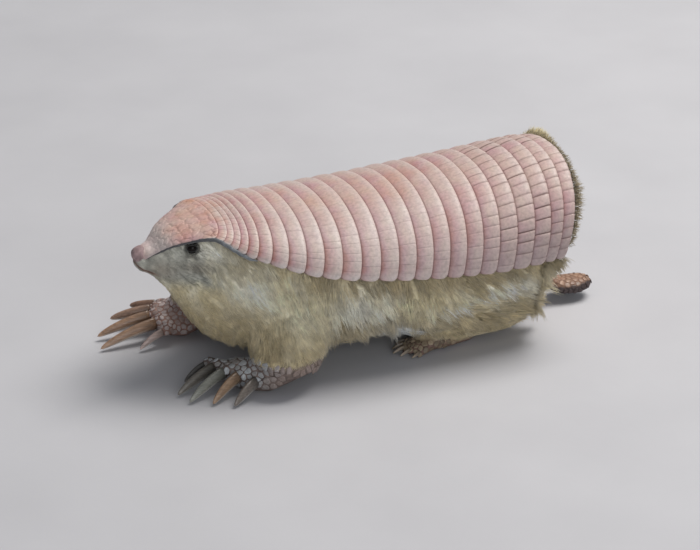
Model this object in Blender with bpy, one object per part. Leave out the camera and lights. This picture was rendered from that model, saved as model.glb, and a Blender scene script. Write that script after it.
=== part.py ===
"""Pink fairy armadillo, a life-size standing model with no joints.

The animal faces -X and stands on z = 0, with its left side towards -Y. One table of body stations drives
the armour and the flesh under it: a head shield, twenty-four bands and a rump shield lie over a furry body,
which is parted into snout, head, neck and trunk. Legs, feet, claws, eyes and tail are solids of their own.
Lengths are in metres.
"""

import math

import bmesh
import bpy
from mathutils import Vector

MM = 0.001
ALONG = Vector((1, 0, 0))
ACROSS = Vector((0, 1, 0))
UP = Vector((0, 0, 1))

# ---- driving dimensions --------------------------------------------------------------------------
GAP = 0.3 * MM  # clearance between solids that touch
PLATE_SINK = 0.75 * MM  # how far the armour reaches inside its own surface line
PLATE_LIP = 0.55 * MM  # how far a band's rear lip stands proud of that line
FLESH_SINK = PLATE_SINK + GAP
BAND_COUNT = 24
ARCH_SQUARENESS = 2.1  # superellipse power of the arch across the back
FLANK_SQUARENESS = 4.0  # the same for the furry underside
ARCH_STEPS = 14
BELLY_STEPS = 9
CENTRE_SHIFT = Vector((-58.85 * MM, -1.58 * MM, 0.0))  # puts the origin under the middle of the animal

# Stations along the body, counted in bands: negative on the head, 0 at the nape, BAND_COUNT at the rear rim.
# station: (edge x, crest x, half width, edge height, crest height, underside height, flank bulge), in mm
STATIONS = {
    -6.0: (6.5, 6.5, 3.6, 31.4, 32.4, 24.3, 0.2),
    -4.0: (9.8, 9.8, 6.2, 33.9, 35.1, 20.4, 0.6),
    -2.0: (14.2, 15.0, 8.8, 35.6, 37.0, 12.6, 1.2),
    0.0: (18.2, 21.0, 11.4, 36.5, 38.0, 8.4, 1.8),
    5.0: (25.8, 29.0, 17.0, 32.4, 38.1, 6.6, 1.6),
    9.0: (39.7, 43.0, 22.0, 27.6, 37.8, 6.2, 0.8),
    13.0: (57.2, 60.6, 24.0, 24.6, 38.5, 6.4, 0.4),
    19.0: (81.9, 86.6, 24.5, 22.4, 40.6, 4.6, 0.3),
    22.0: (94.9, 100.4, 23.8, 22.4, 42.0, 4.0, 0.0),
    24.0: (100.4, 107.6, 23.4, 22.9, 41.7, 6.0, -0.6),
}

# The fringe of coarse hair round the rear rim, with a tuft beside the crest, both as t on the arch.
FRINGE_END = 0.92
TUFT_MIDDLE = 0.22
TUFT_REACH = 0.17
TUFT_HEIGHT = 2.2 * MM

# The rump shield: a plate set inside the rear rim, bulging a little, with rows of scutes round the tail.
RUMP_INSET = 0.9 * MM
RUMP_BULGE = 2.0 * MM
RUMP_THICKNESS = 1.3 * MM
RUMP_CLEARANCE = 1.3 * MM  # from the plate to the flesh, whose facets are coarser
RUMP_HALF_WIDTH = 21.6 * MM
RUMP_CENTRE_Z = 21.0 * MM
RUMP_RISE = 18.9 * MM
RUMP_DROP = 8.0 * MM
RUMP_OPENING = math.radians(114)
TAIL_NOTCH = 4.6 * MM
RUMP_ROWS = 3
RUMP_STEPS = 20

SNOUT_RINGS = (  # x, half width, underside height, top height, in mm
    (2.2, 1.4, 28.9, 31.0),
    (2.8, 2.3, 27.5, 31.7),
    (4.2, 2.8, 26.0, 32.3),
    (6.2, 3.5, 24.9, 32.5),
)

EYE_CENTRE = Vector((14.2, 7.1, 33.1)) * MM
EYE_RADIUS = 1.35 * MM

CUFF_HEIGHT = 5.6  # where the furred arm meets the bare hand, in mm
CUFF_TILT = 78  # degrees by which that cut lies back from upright

DIGIT_SLOPE = 0.3  # how far a digit drops for each unit it reaches ahead

# Digits from the innermost to the outermost, in mm: how far each reaches ahead of the foot's front line, how
# long its claw is, and how high the claw's tip is held.
FINGER_REACH = (-0.4, 0.2, 0.6, -0.6, -2.8)
LEFT_CLAWS = (4.6, 9.4, 9.4, 7.4, 7.0)
LEFT_TIPS = (0.8, 0.8, 0.7, 0.7, 0.7)
RIGHT_CLAWS = (5.4, 13.4, 12.0, 8.8, 5.2)
RIGHT_TIPS = (0.8, 0.8, 1.2, 2.8, 3.6)
TOE_REACH = (-1.6, 0.0, 0.6, 0.1, -1.6)

# The stance, in mm: where each hand's front line, wrist and shoulder are. "turn" holds the degrees by which the
# hand turns outwards, and by which its outer digits fan from the middle one.
LEFT_ARM = {
    "front": (19.6, -14.6, 0.0),
    "wrist": (32.0, -18.8, 7.8),
    "shoulder": (38.5, -13.5, 19.0),
    "turn": (24, 10),
}
RIGHT_ARM = {
    "front": (13.2, 19.2, 0.0),
    "wrist": (25.0, 18.5, 7.8),
    "shoulder": (34.0, 13.5, 19.0),
    "turn": (2, 18),
}
LEFT_FOOT = Vector((66.4, -13.2, 0.0)) * MM
LEFT_THIGH = Vector((84.0, -13.0, 12.0)) * MM
RIGHT_FOOT = Vector((68.4, 12.6, 0.0)) * MM
RIGHT_THIGH = Vector((86.0, 13.0, 12.0)) * MM
FOOT_TURN = 5

TAIL_RINGS = (  # x, height of the centre, half width, half thickness, in mm
    (103.6, 15.0, 2.9, 2.6),
    (105.8, 11.4, 2.7, 2.3),
    (106.9, 7.8, 2.4, 2.0),
    (108.6, 5.0, 2.9, 1.8),
    (111.4, 3.7, 4.0, 1.85),
    (115.0, 3.3, 4.4, 1.9),
    (118.0, 3.5, 3.6, 1.7),
    (119.9, 3.9, 1.5, 1.0),
)


# ---- helpers -------------------------------------------------------------------------------------
def clear_scene():
    for thing in list(bpy.data.objects):
        bpy.data.objects.remove(thing, do_unlink=True)


def principled(name, colour, roughness):
    material = bpy.data.materials.new(name)
    material.use_nodes = True
    shader = material.node_tree.nodes["Principled BSDF"]
    shader.inputs["Base Color"].default_value = (*colour, 1.0)
    shader.inputs["Roughness"].default_value = roughness
    return material


def face_outwards(bm):
    bmesh.ops.recalc_face_normals(bm, faces=bm.faces)
    if bm.calc_volume(signed=True) < 0:
        bmesh.ops.reverse_faces(bm, faces=bm.faces)


def object_from(bm, name, material):
    """Links the mesh as an object, with its faces turned outwards and shaded smooth between soft edges."""
    face_outwards(bm)
    mesh = bpy.data.meshes.new(name)
    bm.to_mesh(mesh)
    bm.free()
    mesh.materials.append(material)
    mesh.shade_smooth()
    mesh.set_sharp_from_angle(angle=math.radians(40))
    thing = bpy.data.objects.new(name, mesh)
    bpy.context.scene.collection.objects.link(thing)
    return thing


def loft(name, rings, material):
    """One closed solid through a row of rings, each with the same number of points, capped at both ends.

    Its walls and caps are split into triangles the same way each time, so a cutter made from swollen rings
    stays clear of the solid made from the plain ones.
    """
    bm = bmesh.new()
    loops = [[bm.verts.new(point + CENTRE_SHIFT) for point in ring] for ring in rings]
    count = len(loops[0])
    for near, far in zip(loops, loops[1:]):
        for i in range(count):
            j = (i + 1) % count
            bm.faces.new((near[i], near[j], far[j]))
            bm.faces.new((near[i], far[j], far[i]))
    for end in (loops[0], loops[-1]):
        if count < 12:
            bm.faces.new(end)
            continue
        middle = bm.verts.new(sum((vert.co for vert in end), Vector()) / count)
        for i in range(count):
            bm.faces.new((middle, end[i], end[(i + 1) % count]))
    return object_from(bm, name, material)


def ellipse_ring(centre, across, upward, half_width, half_height, steps):
    """A ring round a centre, starting at +across and turning towards +upward."""
    turn = 2 * math.pi / steps
    return [
        centre + across * half_width * math.cos(i * turn) + upward * half_height * math.sin(i * turn)
        for i in range(steps)
    ]


def signed_power(value, power):
    return math.copysign(abs(value) ** power, value)


def bake_booleans(thing):
    """Replaces the object's mesh by what its modifiers make of it."""
    graph = bpy.context.evaluated_depsgraph_get()
    made = bpy.data.meshes.new_from_object(thing.evaluated_get(graph))
    thing.modifiers.clear()
    thing.data = made


def boolean(thing, other, operation):
    modifier = thing.modifiers.new(operation.lower(), "BOOLEAN")
    modifier.operation = operation
    modifier.object = other
    bake_booleans(thing)
    bpy.data.objects.remove(other, do_unlink=True)


def flatten_sole(thing):
    """Cuts off what lies under the floor, which leaves a small flat to stand on."""
    bm = bmesh.new()
    bm.from_mesh(thing.data)
    cut = bmesh.ops.bisect_plane(
        bm,
        geom=bm.verts[:] + bm.edges[:] + bm.faces[:],
        plane_co=(0, 0, 0),
        plane_no=(0, 0, 1),
        clear_inner=True,
    )
    rim = [edge for edge in cut["geom_cut"] if isinstance(edge, bmesh.types.BMEdge)]
    bmesh.ops.holes_fill(bm, edges=rim, sides=0)
    face_outwards(bm)
    bm.to_mesh(thing.data)
    bm.free()


# ---- the body's stations -------------------------------------------------------------------------
def station_slope(keys, rows, k, column):
    before = max(k - 1, 0)
    after = min(k + 1, len(keys) - 1)
    return (rows[after][column] - rows[before][column]) / (keys[after] - keys[before])


def station(s):
    """The body's measures at band coordinate s, on a smooth curve through STATIONS, in metres."""
    keys = sorted(STATIONS)
    rows = [STATIONS[key] for key in keys]
    k = max(0, min(len(keys) - 2, sum(key <= s for key in keys) - 1))
    span = keys[k + 1] - keys[k]
    f = (s - keys[k]) / span
    found = []
    for column in range(len(rows[0])):
        a = rows[k][column]
        b = rows[k + 1][column]
        slope_a = station_slope(keys, rows, k, column) * span
        slope_b = station_slope(keys, rows, k + 1, column) * span
        value = (
            (2 * f**3 - 3 * f**2 + 1) * a
            + (f**3 - 2 * f**2 + f) * slope_a
            + (3 * f**2 - 2 * f**3) * b
            + (f**3 - f**2) * slope_b
        )
        found.append(value * MM)
    return found


def arch_point(s, t, lift=0.0):
    """A point of the armour's surface line: t is -1 at the left edge, 0 on the crest and 1 at the right."""
    edge_x, crest_x, half_width, edge_z, crest_z, _, _ = station(s)
    angle = t * math.pi / 2
    side = signed_power(math.sin(angle), 2 / ARCH_SQUARENESS)
    rise = max(math.cos(angle), 0.0) ** (2 / ARCH_SQUARENESS)
    return Vector(
        (
            edge_x + (crest_x - edge_x) * rise,
            (half_width + lift) * side,
            edge_z + (crest_z + lift - edge_z) * rise,
        )
    )


def arch(s, lift, steps=ARCH_STEPS):
    return [arch_point(s, -1 + 2 * i / steps, lift) for i in range(steps + 1)]


def underside(s):
    """The furry flank and belly below the armour, from the right edge round to the left, ends left out."""
    edge_x, _, half_width, edge_z, _, belly_z, bulge = station(s)
    width = half_width - FLESH_SINK
    points = []
    for i in range(1, BELLY_STEPS):
        angle = math.pi * i / BELLY_STEPS
        side = signed_power(math.cos(angle), 2 / FLANK_SQUARENESS)
        drop = math.sin(angle) ** (2 / FLANK_SQUARENESS)
        swell = bulge * math.sin(2 * angle)
        points.append(Vector((edge_x, width * side + swell, edge_z - (edge_z - belly_z) * drop)))
    return points


def flesh_ring(s):
    return arch(s, -FLESH_SINK) + underside(s)


def rump_x(y, z, inward=0.0):
    """How far back the rump's surface lies: it follows the lean of the rear rim and bulges in the middle."""
    edge_x, crest_x, half_width, edge_z, crest_z, _, _ = station(BAND_COUNT)
    rise = max(z - edge_z, 0.0) / (crest_z - edge_z)
    bulge = RUMP_BULGE * (1 - (y / half_width) ** 2)
    return edge_x + (crest_x - edge_x) * rise - RUMP_INSET + bulge - inward


# ---- armour --------------------------------------------------------------------------------------
def make_bands(material):
    """Hoops that each rise from a low front edge, behind the lip of the hoop before, to their own lip."""
    for i in range(BAND_COUNT):
        front = station(i)
        rear = station(i + 1)
        width = (rear[0] + rear[1] - front[0] - front[1]) / 2
        margin = GAP / 2 / width
        first = i + margin
        last = i + 1 - margin
        rings = []
        for step in range(ARCH_STEPS + 1):
            t = -1 + 2 * step / ARCH_STEPS
            rings.append(
                [
                    arch_point(first, t, -PLATE_SINK),
                    arch_point(first, t, 0.0),
                    arch_point(last, t, PLATE_LIP),
                    arch_point(last, t, -PLATE_SINK),
                ]
            )
        loft(f"band_{i + 1:02d}", rings, material)


def make_head_shield(material):
    """One plate over the brow, from behind the bare snout to the nape."""
    stations = [-5.85, -5.0, -4.0, -3.0, -2.0, -1.0, -0.1]
    steps = 10
    rings = []
    for s in stations:
        outer = arch(s, 0.25 * MM, steps)
        inner = arch(s, -PLATE_SINK, steps)
        rings.append(outer + inner[::-1])
    loft("head_shield", rings, material)


def make_rump_shield(material):
    """A horseshoe plate in rows round the tail, bowed to the rump's surface."""
    turns = [-RUMP_OPENING + 2 * RUMP_OPENING * i / RUMP_STEPS for i in range(RUMP_STEPS + 1)]
    notch = Vector((0.0, RUMP_CENTRE_Z - 7.2 * MM))

    def place(turn, row, inward):
        side = signed_power(math.sin(turn), 2 / ARCH_SQUARENESS)
        rise = signed_power(math.cos(turn), 2 / ARCH_SQUARENESS)
        reach = RUMP_RISE if rise > 0 else RUMP_DROP
        outer = Vector((RUMP_HALF_WIDTH * side, RUMP_CENTRE_Z + reach * rise))
        inner = notch + TAIL_NOTCH * Vector((math.sin(turn), math.cos(turn)))
        y, z = inner.lerp(outer, row)
        return Vector((rump_x(y, z, inward), y, z))

    rings = []
    for turn in turns:
        outside = [place(turn, row / RUMP_ROWS, 0.0) for row in range(RUMP_ROWS + 1)]
        inside = [place(turn, row / RUMP_ROWS, RUMP_THICKNESS) for row in range(RUMP_ROWS + 1)]
        rings.append(outside + inside[::-1])
    loft("rump_shield", rings, material)


def make_rim_fringe(material):
    """The hair that stands out behind the last band: a strip in the slot round the rump shield."""
    steps = 24
    rings = []
    for i in range(steps + 1):
        t = FRINGE_END * (2 * i / steps - 1)
        tuft = TUFT_HEIGHT * math.exp(-(((t - TUFT_MIDDLE) / TUFT_REACH) ** 2))
        section = (  # distance behind the rim, height over the arch
            (GAP, -1.4 * MM),
            (GAP, 0.2 * MM + 0.8 * tuft),
            (0.7 * MM, 0.3 * MM + tuft),
            (1.1 * MM, 0.1 * MM + 0.7 * tuft),
            (1.0 * MM, -0.8 * MM),
            (0.7 * MM, -1.4 * MM),
        )
        rings.append([arch_point(BAND_COUNT, t, lift) + ALONG * behind for behind, lift in section])
    loft("rim_fringe", rings, material)


# ---- flesh ---------------------------------------------------------------------------------------
def swollen_rings(rings, grow):
    """The rings moved away from the body's long axis, and the first and last of them along it."""
    found = []
    for ring in rings:
        moved = []
        for point in ring:
            out = point - Vector((point.x, 0, 24 * MM))
            moved.append(point + out * (grow / max(out.length, MM)))
        found.append(moved)
    found[0] = [point - Vector((grow, 0, 0)) for point in found[0]]
    found[-1] = [point + Vector((grow, 0, 0)) for point in found[-1]]
    return found


def make_snout(material):
    rings = []
    for x, half_width, low, high in SNOUT_RINGS:
        centre = Vector((x, 0, (low + high) / 2)) * MM
        half_height = (high - low) / 2 * MM
        rings.append(ellipse_ring(centre, ACROSS, UP, half_width * MM, half_height, 14))
    loft("snout", rings, material)


def make_eye(name, side, radius, material):
    bm = bmesh.new()
    bmesh.ops.create_uvsphere(bm, u_segments=10, v_segments=6, radius=radius)
    centre = Vector((EYE_CENTRE.x, side * EYE_CENTRE.y, EYE_CENTRE.z)) + CENTRE_SHIFT
    bmesh.ops.translate(bm, verts=bm.verts, vec=centre)
    return object_from(bm, name, material)


def make_head(material):
    stations = (-6.0, -5.0, -4.0, -3.0, -2.0, -1.0, -0.1)
    head = loft("head", [flesh_ring(s) for s in stations], material)
    for side in (-1, 1):
        socket = make_eye("socket_cutter", side, EYE_RADIUS + GAP, material)
        boolean(head, socket, "DIFFERENCE")


def neck_rings(grow=0.0):
    return swollen_rings([flesh_ring(s) for s in (0.06, 1.0, 2.0, 2.85)], grow)


def make_neck(material):
    loft("neck", neck_rings(), material)


def trunk_rings(grow=0.0):
    """The trunk's rings from the shoulders to the rump, optionally swollen by a clearance."""
    rings = [flesh_ring(s) for s in (3.05, *range(4, BAND_COUNT - 1, 2), BAND_COUNT - 1)]
    last = rings[-1]
    heart = Vector((0, 0, RUMP_CENTRE_Z + 3 * MM))
    for share in (0.95, 0.66, 0.33):
        ring = []
        for point in last:
            y = heart.y + (point.y - heart.y) * share
            z = heart.z + (point.z - heart.z) * share
            ring.append(Vector((rump_x(y, z, RUMP_THICKNESS + RUMP_CLEARANCE - grow), y, z)))
        rings.append(ring)
    return swollen_rings(rings, grow)


def make_trunk(material):
    loft("trunk", trunk_rings(), material)


def make_tail(material):
    rings = []
    for i, (x, z, half_width, half_thickness) in enumerate(TAIL_RINGS):
        before = TAIL_RINGS[max(i - 1, 0)]
        after = TAIL_RINGS[min(i + 1, len(TAIL_RINGS) - 1)]
        along = Vector((after[0] - before[0], 0, after[1] - before[1])).normalized()
        upward = Vector((-along.z, 0, along.x))
        centre = Vector((x, 0, z)) * MM
        rings.append(ellipse_ring(centre, ACROSS, upward, half_width * MM, half_thickness * MM, 12))
    tail = loft("tail", rings, material)
    boolean(tail, loft("trunk_cutter", trunk_rings(GAP), material), "DIFFERENCE")


# ---- limbs ---------------------------------------------------------------------------------------
def heading(outward, side):
    """Level unit vectors of a foot turned outward: straight ahead, and across to its outer edge."""
    turn = math.radians(outward)
    ahead = Vector((-math.cos(turn), side * math.sin(turn), 0))
    across = Vector((math.sin(turn), side * math.cos(turn), 0))
    return ahead, across


def tilted_ring(centre, ahead, across, tilt, half_width, half_height, steps=16):
    """A ring across a limb that climbs backwards at so many degrees: upright at 0 and level at 90."""
    lean = math.radians(tilt)
    upward = Vector((0, 0, math.cos(lean))) + ahead * math.sin(lean)
    return ellipse_ring(centre, across, upward, half_width, half_height, steps)


def digits_of(front, ahead, across, half_spread, fan, height, reaches):
    """Where each digit leaves the foot and which way it points, innermost first, in a low arch."""
    found = []
    for i, reach in enumerate(reaches):
        share = (i - 2) / 2
        turn = math.radians(fan * share)
        way = ahead * math.cos(turn) + across * math.sin(turn)
        place = front + across * share * half_spread + ahead * reach * MM
        place.z = height * (1 - 0.22 * share * share)
        found.append((place, way))
    return found


def paw(name, rings, digits, heart, reach, radius, material):
    """A foot lofted through its rings, with blunt digits joined on that spring from its heart."""
    thing = loft(name, rings, material)
    for place, way in digits:
        slope = (way - DIGIT_SLOPE * UP).normalized()
        lean = slope.cross(UP).normalized()
        tall = lean.cross(slope).normalized()
        root = place.lerp(heart, 0.6)
        shape = ((root, 1.0), (place - slope * 0.6 * MM, 1.15), (place + slope * reach, 0.8))
        toe = [ellipse_ring(at, lean, tall, radius * grow, radius * grow, 8) for at, grow in shape]
        boolean(thing, loft("toe", toe, material), "UNION")
    flatten_sole(thing)


def hand_rings(front, ahead, across, wrist):
    """The forefoot from its front line back and up to the cuff at the wrist."""
    shape = (  # share of the way to the wrist, height, tilt, half width, half height
        (-0.06, 3.4, 0, 5.2, 1.8),
        (0.16, 3.0, 4, 6.4, 3.2),
        (0.4, 3.2, 16, 7.8, 3.9),
        (1.0, CUFF_HEIGHT, CUFF_TILT, 7.4, 7.5),
    )
    rings = []
    for share, z, tilt, half_width, half_height in shape:
        centre = front.lerp(wrist, share)
        centre.z = z * MM
        rings.append(tilted_ring(centre, ahead, across, tilt, half_width * MM, half_height * MM))
    return rings


def claw(name, base, way, length, depth, tip_height, material, steps=5):
    """A blade flattened from side to side, deep at its root, that arches down to a blunt point."""
    side = way.cross(UP).normalized()
    drop = UP * (tip_height - base.z)
    rings = []
    for i in range(steps):
        f = i / (steps - 1)
        centre = base + way * length * f + drop * (0.4 * f + 0.6 * f * f)
        along = (way * length + drop * (0.4 + 1.2 * f)).normalized()
        upward = side.cross(along).normalized()
        taper = max((1 - f * f) ** 0.5, 0.3)
        rings.append(ellipse_ring(centre, side, upward, 0.32 * depth * taper, 0.5 * depth * taper, 8))
    loft(name, rings, material)


def make_foreleg(label, side, stance, claws, tips, fur, skin, horn):
    """A furred arm over a broad bare hand, with five separate claws."""
    outward, fan = stance["turn"]
    front, wrist, shoulder = (Vector(stance[key]) * MM for key in ("front", "wrist", "shoulder"))
    ahead, across = heading(outward, side)
    digits = digits_of(front, ahead, across, 7.0 * MM, fan, 4.8 * MM, FINGER_REACH)
    reach = 1.4 * MM
    heart = front.lerp(wrist, 0.5)
    heart.z = 3.6 * MM
    paw(f"forefoot_{label}", hand_rings(front, ahead, across, wrist), digits, heart, reach, 1.5 * MM, skin)
    for i, (place, way) in enumerate(digits):
        slope = (way - DIGIT_SLOPE * UP).normalized()
        base = place + slope * (reach + 2.6 * GAP)
        depth = (2.1 if i == 0 else 3.1) * MM
        claw(f"claw_{label}_{i + 1}", base, way, claws[i] * MM, depth, tips[i] * MM, horn)

    elbow = wrist.lerp(shoulder, 0.4)
    cuff = Vector((wrist.x, wrist.y, CUFF_HEIGHT * MM + 1.5 * GAP))
    sleeve = [
        tilted_ring(cuff, ahead, across, CUFF_TILT, 8.0 * MM, 8.4 * MM),
        tilted_ring(elbow, ahead, across, 86, 8.8 * MM, 10.6 * MM),
        tilted_ring(shoulder, ahead, across, 90, 6.6 * MM, 8.0 * MM),
    ]
    leg = loft(f"foreleg_{label}", sleeve, fur)
    boolean(leg, loft("trunk_cutter", trunk_rings(GAP), fur), "DIFFERENCE")
    boolean(leg, loft("neck_cutter", neck_rings(GAP), fur), "DIFFERENCE")


def foot_rings(front, ahead, across, grow=0.0):
    """The long flat hind foot from its front line back to the heel."""
    shape = (  # distance ahead of the front line, height, tilt, half width, half height
        (0.6, 1.4, 0, 2.9, 1.1),
        (-2.0, 1.7, 0, 3.9, 1.8),
        (-8.0, 2.1, 5, 4.0, 2.3),
        (-14.0, 2.4, 10, 3.3, 2.6),
        (-17.0, 2.6, 15, 2.0, 1.8),
    )
    rings = []
    for at, z, tilt, half_width, half_height in shape:
        centre = front + ahead * at * MM + UP * z * MM
        wide = half_width * MM + grow
        high = half_height * MM + grow
        rings.append(tilted_ring(centre, ahead, across, tilt, wide, high))
    return rings


def make_hindleg(label, side, front, thigh, fur, skin):
    """A furred thigh and shank over a bare sole, its short claws in one piece with their toes."""
    ahead, across = heading(FOOT_TURN, side)
    digits = digits_of(front, ahead, across, 3.3 * MM, 12, 1.5 * MM, TOE_REACH)
    heart = front - ahead * 6.0 * MM + UP * 2.0 * MM
    paw(f"hindfoot_{label}", foot_rings(front, ahead, across), digits, heart, 2.4 * MM, 0.85 * MM, skin)
    ankle = front - ahead * 15.0 * MM
    hem = Vector((thigh.x - 2 * MM, ankle.y, 1.7 * MM))
    middle = Vector((thigh.x, (thigh.y + ankle.y) / 2, 5.0 * MM))
    sleeve = [
        ellipse_ring(hem, ALONG, ACROSS, 15.0 * MM, 4.8 * MM, 18),
        ellipse_ring(middle, ALONG, ACROSS, 17.5 * MM, 6.6 * MM, 18),
        ellipse_ring(thigh, ALONG, ACROSS, 15.0 * MM, 5.6 * MM, 18),
    ]
    leg = loft(f"hindleg_{label}", sleeve, fur)
    boolean(leg, loft("foot_cutter", foot_rings(front, ahead, across, GAP), fur), "DIFFERENCE")
    boolean(leg, loft("trunk_cutter", trunk_rings(GAP), fur), "DIFFERENCE")


def main():
    clear_scene()
    armour = principled("armour", (0.78, 0.55, 0.50), 0.5)
    fur = principled("fur", (0.70, 0.62, 0.45), 0.9)
    skin = principled("bare_skin", (0.55, 0.40, 0.36), 0.6)
    horn = principled("claw_horn", (0.45, 0.34, 0.26), 0.4)
    eye = principled("eye", (0.01, 0.01, 0.01), 0.1)

    make_head_shield(armour)
    make_bands(armour)
    make_rump_shield(armour)
    make_rim_fringe(fur)
    make_snout(skin)
    make_head(fur)
    make_neck(fur)
    make_trunk(fur)
    make_tail(skin)
    make_eye("eye_left", -1, EYE_RADIUS, eye)
    make_eye("eye_right", 1, EYE_RADIUS, eye)
    make_foreleg("left", -1, LEFT_ARM, LEFT_CLAWS, LEFT_TIPS, fur, skin, horn)
    make_foreleg("right", 1, RIGHT_ARM, RIGHT_CLAWS, RIGHT_TIPS, fur, skin, horn)
    make_hindleg("left", -1, LEFT_FOOT, LEFT_THIGH, fur, skin)
    make_hindleg("right", 1, RIGHT_FOOT, RIGHT_THIGH, fur, skin)


main()
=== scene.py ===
"""Looks of the pink fairy armadillo: a horny shell, one skin under a silky coat, scaly feet and claws."""

import math

import bpy
import numpy as np
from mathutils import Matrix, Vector
from mathutils.bvhtree import BVHTree


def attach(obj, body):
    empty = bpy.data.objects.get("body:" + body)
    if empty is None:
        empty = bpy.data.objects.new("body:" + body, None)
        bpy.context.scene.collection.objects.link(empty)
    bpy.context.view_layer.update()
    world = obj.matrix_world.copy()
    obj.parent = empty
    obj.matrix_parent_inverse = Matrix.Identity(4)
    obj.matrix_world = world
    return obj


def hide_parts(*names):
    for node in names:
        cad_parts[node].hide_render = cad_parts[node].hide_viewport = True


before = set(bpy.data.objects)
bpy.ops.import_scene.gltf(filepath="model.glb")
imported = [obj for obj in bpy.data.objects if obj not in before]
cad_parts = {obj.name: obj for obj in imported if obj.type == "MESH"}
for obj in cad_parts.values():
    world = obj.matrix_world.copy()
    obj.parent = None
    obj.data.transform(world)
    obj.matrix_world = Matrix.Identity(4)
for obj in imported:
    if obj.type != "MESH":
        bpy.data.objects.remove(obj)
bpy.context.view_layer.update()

MM = 0.001
# The body is laid out in millimetres with x = 0 just ahead of the snout. This moves it to the part's origin.
SHIFT = np.array([-58.85, -1.58, 0.0])

# Body stations along the back. Each row: a band coordinate, then the shell's edge x, crest x, half width,
# edge height and crest height there.
STATIONS = np.array(
    [
        [-8.0, 3.6, 3.6, 2.65, 29.4, 32.0],
        [-6.0, 6.5, 6.5, 3.6, 31.4, 32.4],
        [-4.0, 9.8, 9.8, 6.2, 33.9, 35.1],
        [-2.0, 14.2, 15.0, 8.8, 35.6, 37.0],
        [0.0, 18.2, 21.0, 11.4, 36.5, 38.0],
        [5.0, 25.8, 29.0, 17.0, 32.4, 38.1],
        [9.0, 39.7, 43.0, 22.0, 27.6, 37.8],
        [13.0, 57.2, 60.6, 24.0, 24.6, 38.5],
        [19.0, 81.9, 86.6, 24.5, 22.4, 40.6],
        [22.0, 94.9, 100.4, 23.8, 22.4, 42.0],
        [24.0, 100.4, 107.6, 23.4, 22.9, 41.7],
    ]
)
BAND_COUNT = 24
# How square the arches are: 2 would make them ellipses.
SQUARENESS = 2.1

# The rump plate, in mm and degrees: its half width, the height of its centre, its rise and drop from there,
# how far it reaches round to either side, and the radius of its notch.
RUMP = {"half_width": 21.8, "centre": 21.0, "rise": 19.1, "drop": 8.2, "opening": 114, "notch": 4.6}

# The middle of the right eye, the radius of both, and half the length and height of the opening and the lid.
EYE = np.array([14.2, 7.1, 33.1])
EYE_RADIUS = 1.35
EYE_OPENING = (1.09, 0.73)
EYELID_LINE = (1.12, 0.76)
SIDES = {"left": -1, "right": 1}

# Each hand: the middle of its front line, degrees turned outwards, degrees of fan, and the lengths and tip
# heights of its claws, innermost first.
HANDS = {
    "left": ((19.6, -14.6), 24, 10, (4.6, 9.4, 9.4, 7.4, 7.0), (0.8, 0.8, 0.7, 0.7, 0.7)),
    "right": ((13.2, 19.2), 2, 18, (5.4, 13.4, 12.0, 8.8, 5.2), (0.8, 0.8, 1.2, 2.8, 3.6)),
}
# The middle of each hind foot's front line, and how far ahead of its foot's front line each digit starts.
HIND_FEET = {"left": (66.4, -13.2), "right": (68.4, 12.6)}
FINGER_REACH = (-0.4, 0.2, 0.6, -0.6, -2.8)
TOE_REACH = (-1.6, 0.0, 0.6, 0.1, -1.6)

# The solids that the skin stands for: those in fur, and those that are bare.
FLESH = ("head", "neck", "trunk", "foreleg_left", "foreleg_right", "hindleg_left", "hindleg_right")
BARE = ("snout", "tail", "forefoot_left", "forefoot_right", "hindfoot_left", "hindfoot_right")
# Each of them is known by its place in this list.
PARTS = FLESH + BARE
BARE_NUMBERS = np.arange(len(FLESH), len(PARTS))
# The lowest that skin, hairs and scutes reach above the floor, in mm.
SOLE_HEIGHT = 0.03
HAIR_FLOOR = 0.15
SCUTE_FLOOR = 0.05
# The flesh is swollen by SWELL and fused on a grid of VOXEL, both in mm. Points nearer than WELD, in metres,
# are merged.
SWELL = 0.35
VOXEL = 0.62
WELD = 1e-6
# How often the shoulders and knees are averaged with their surroundings.
MELT_ROUNDS = 110

rng = np.random.default_rng(24)


# ---- numbers and shapes --------------------------------------------------------------------------
def unit(vectors):
    """The vectors at length 1."""
    return vectors / np.maximum(np.linalg.norm(vectors, axis=-1, keepdims=True), 1e-9)


def ease(low, high, value):
    """0 below low, 1 above high, and a smooth step between. It falls instead where high is under low."""
    share = np.clip((value - low) / (high - low), 0, 1)
    return share * share * (3 - 2 * share)


def soft_noise(points, wavelength, seed, waves=7):
    """A smooth random field about -1 to 1, made of sine waves in random directions."""
    own = np.random.default_rng(seed)
    total = np.zeros(len(points))
    for _ in range(waves):
        direction = unit(own.normal(size=3)) * 2 * math.pi / (wavelength * own.uniform(0.6, 1.5))
        total += np.sin(points @ direction + own.uniform(0, 2 * math.pi))
    return total / math.sqrt(waves)


def wander(points, wavelength, seed):
    """A smooth random offset in each of the three directions, about -1 to 1."""
    return np.column_stack([soft_noise(points, wavelength, seed + axis) for axis in range(3)])


def turns(count):
    """So many even steps round a circle, in radians."""
    return np.arange(count) * 2 * math.pi / count


def towards(colour, weight, target):
    """The colours moved to the target by each point's weight."""
    return colour + np.atleast_1d(weight)[:, None] * (target - colour)


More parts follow.
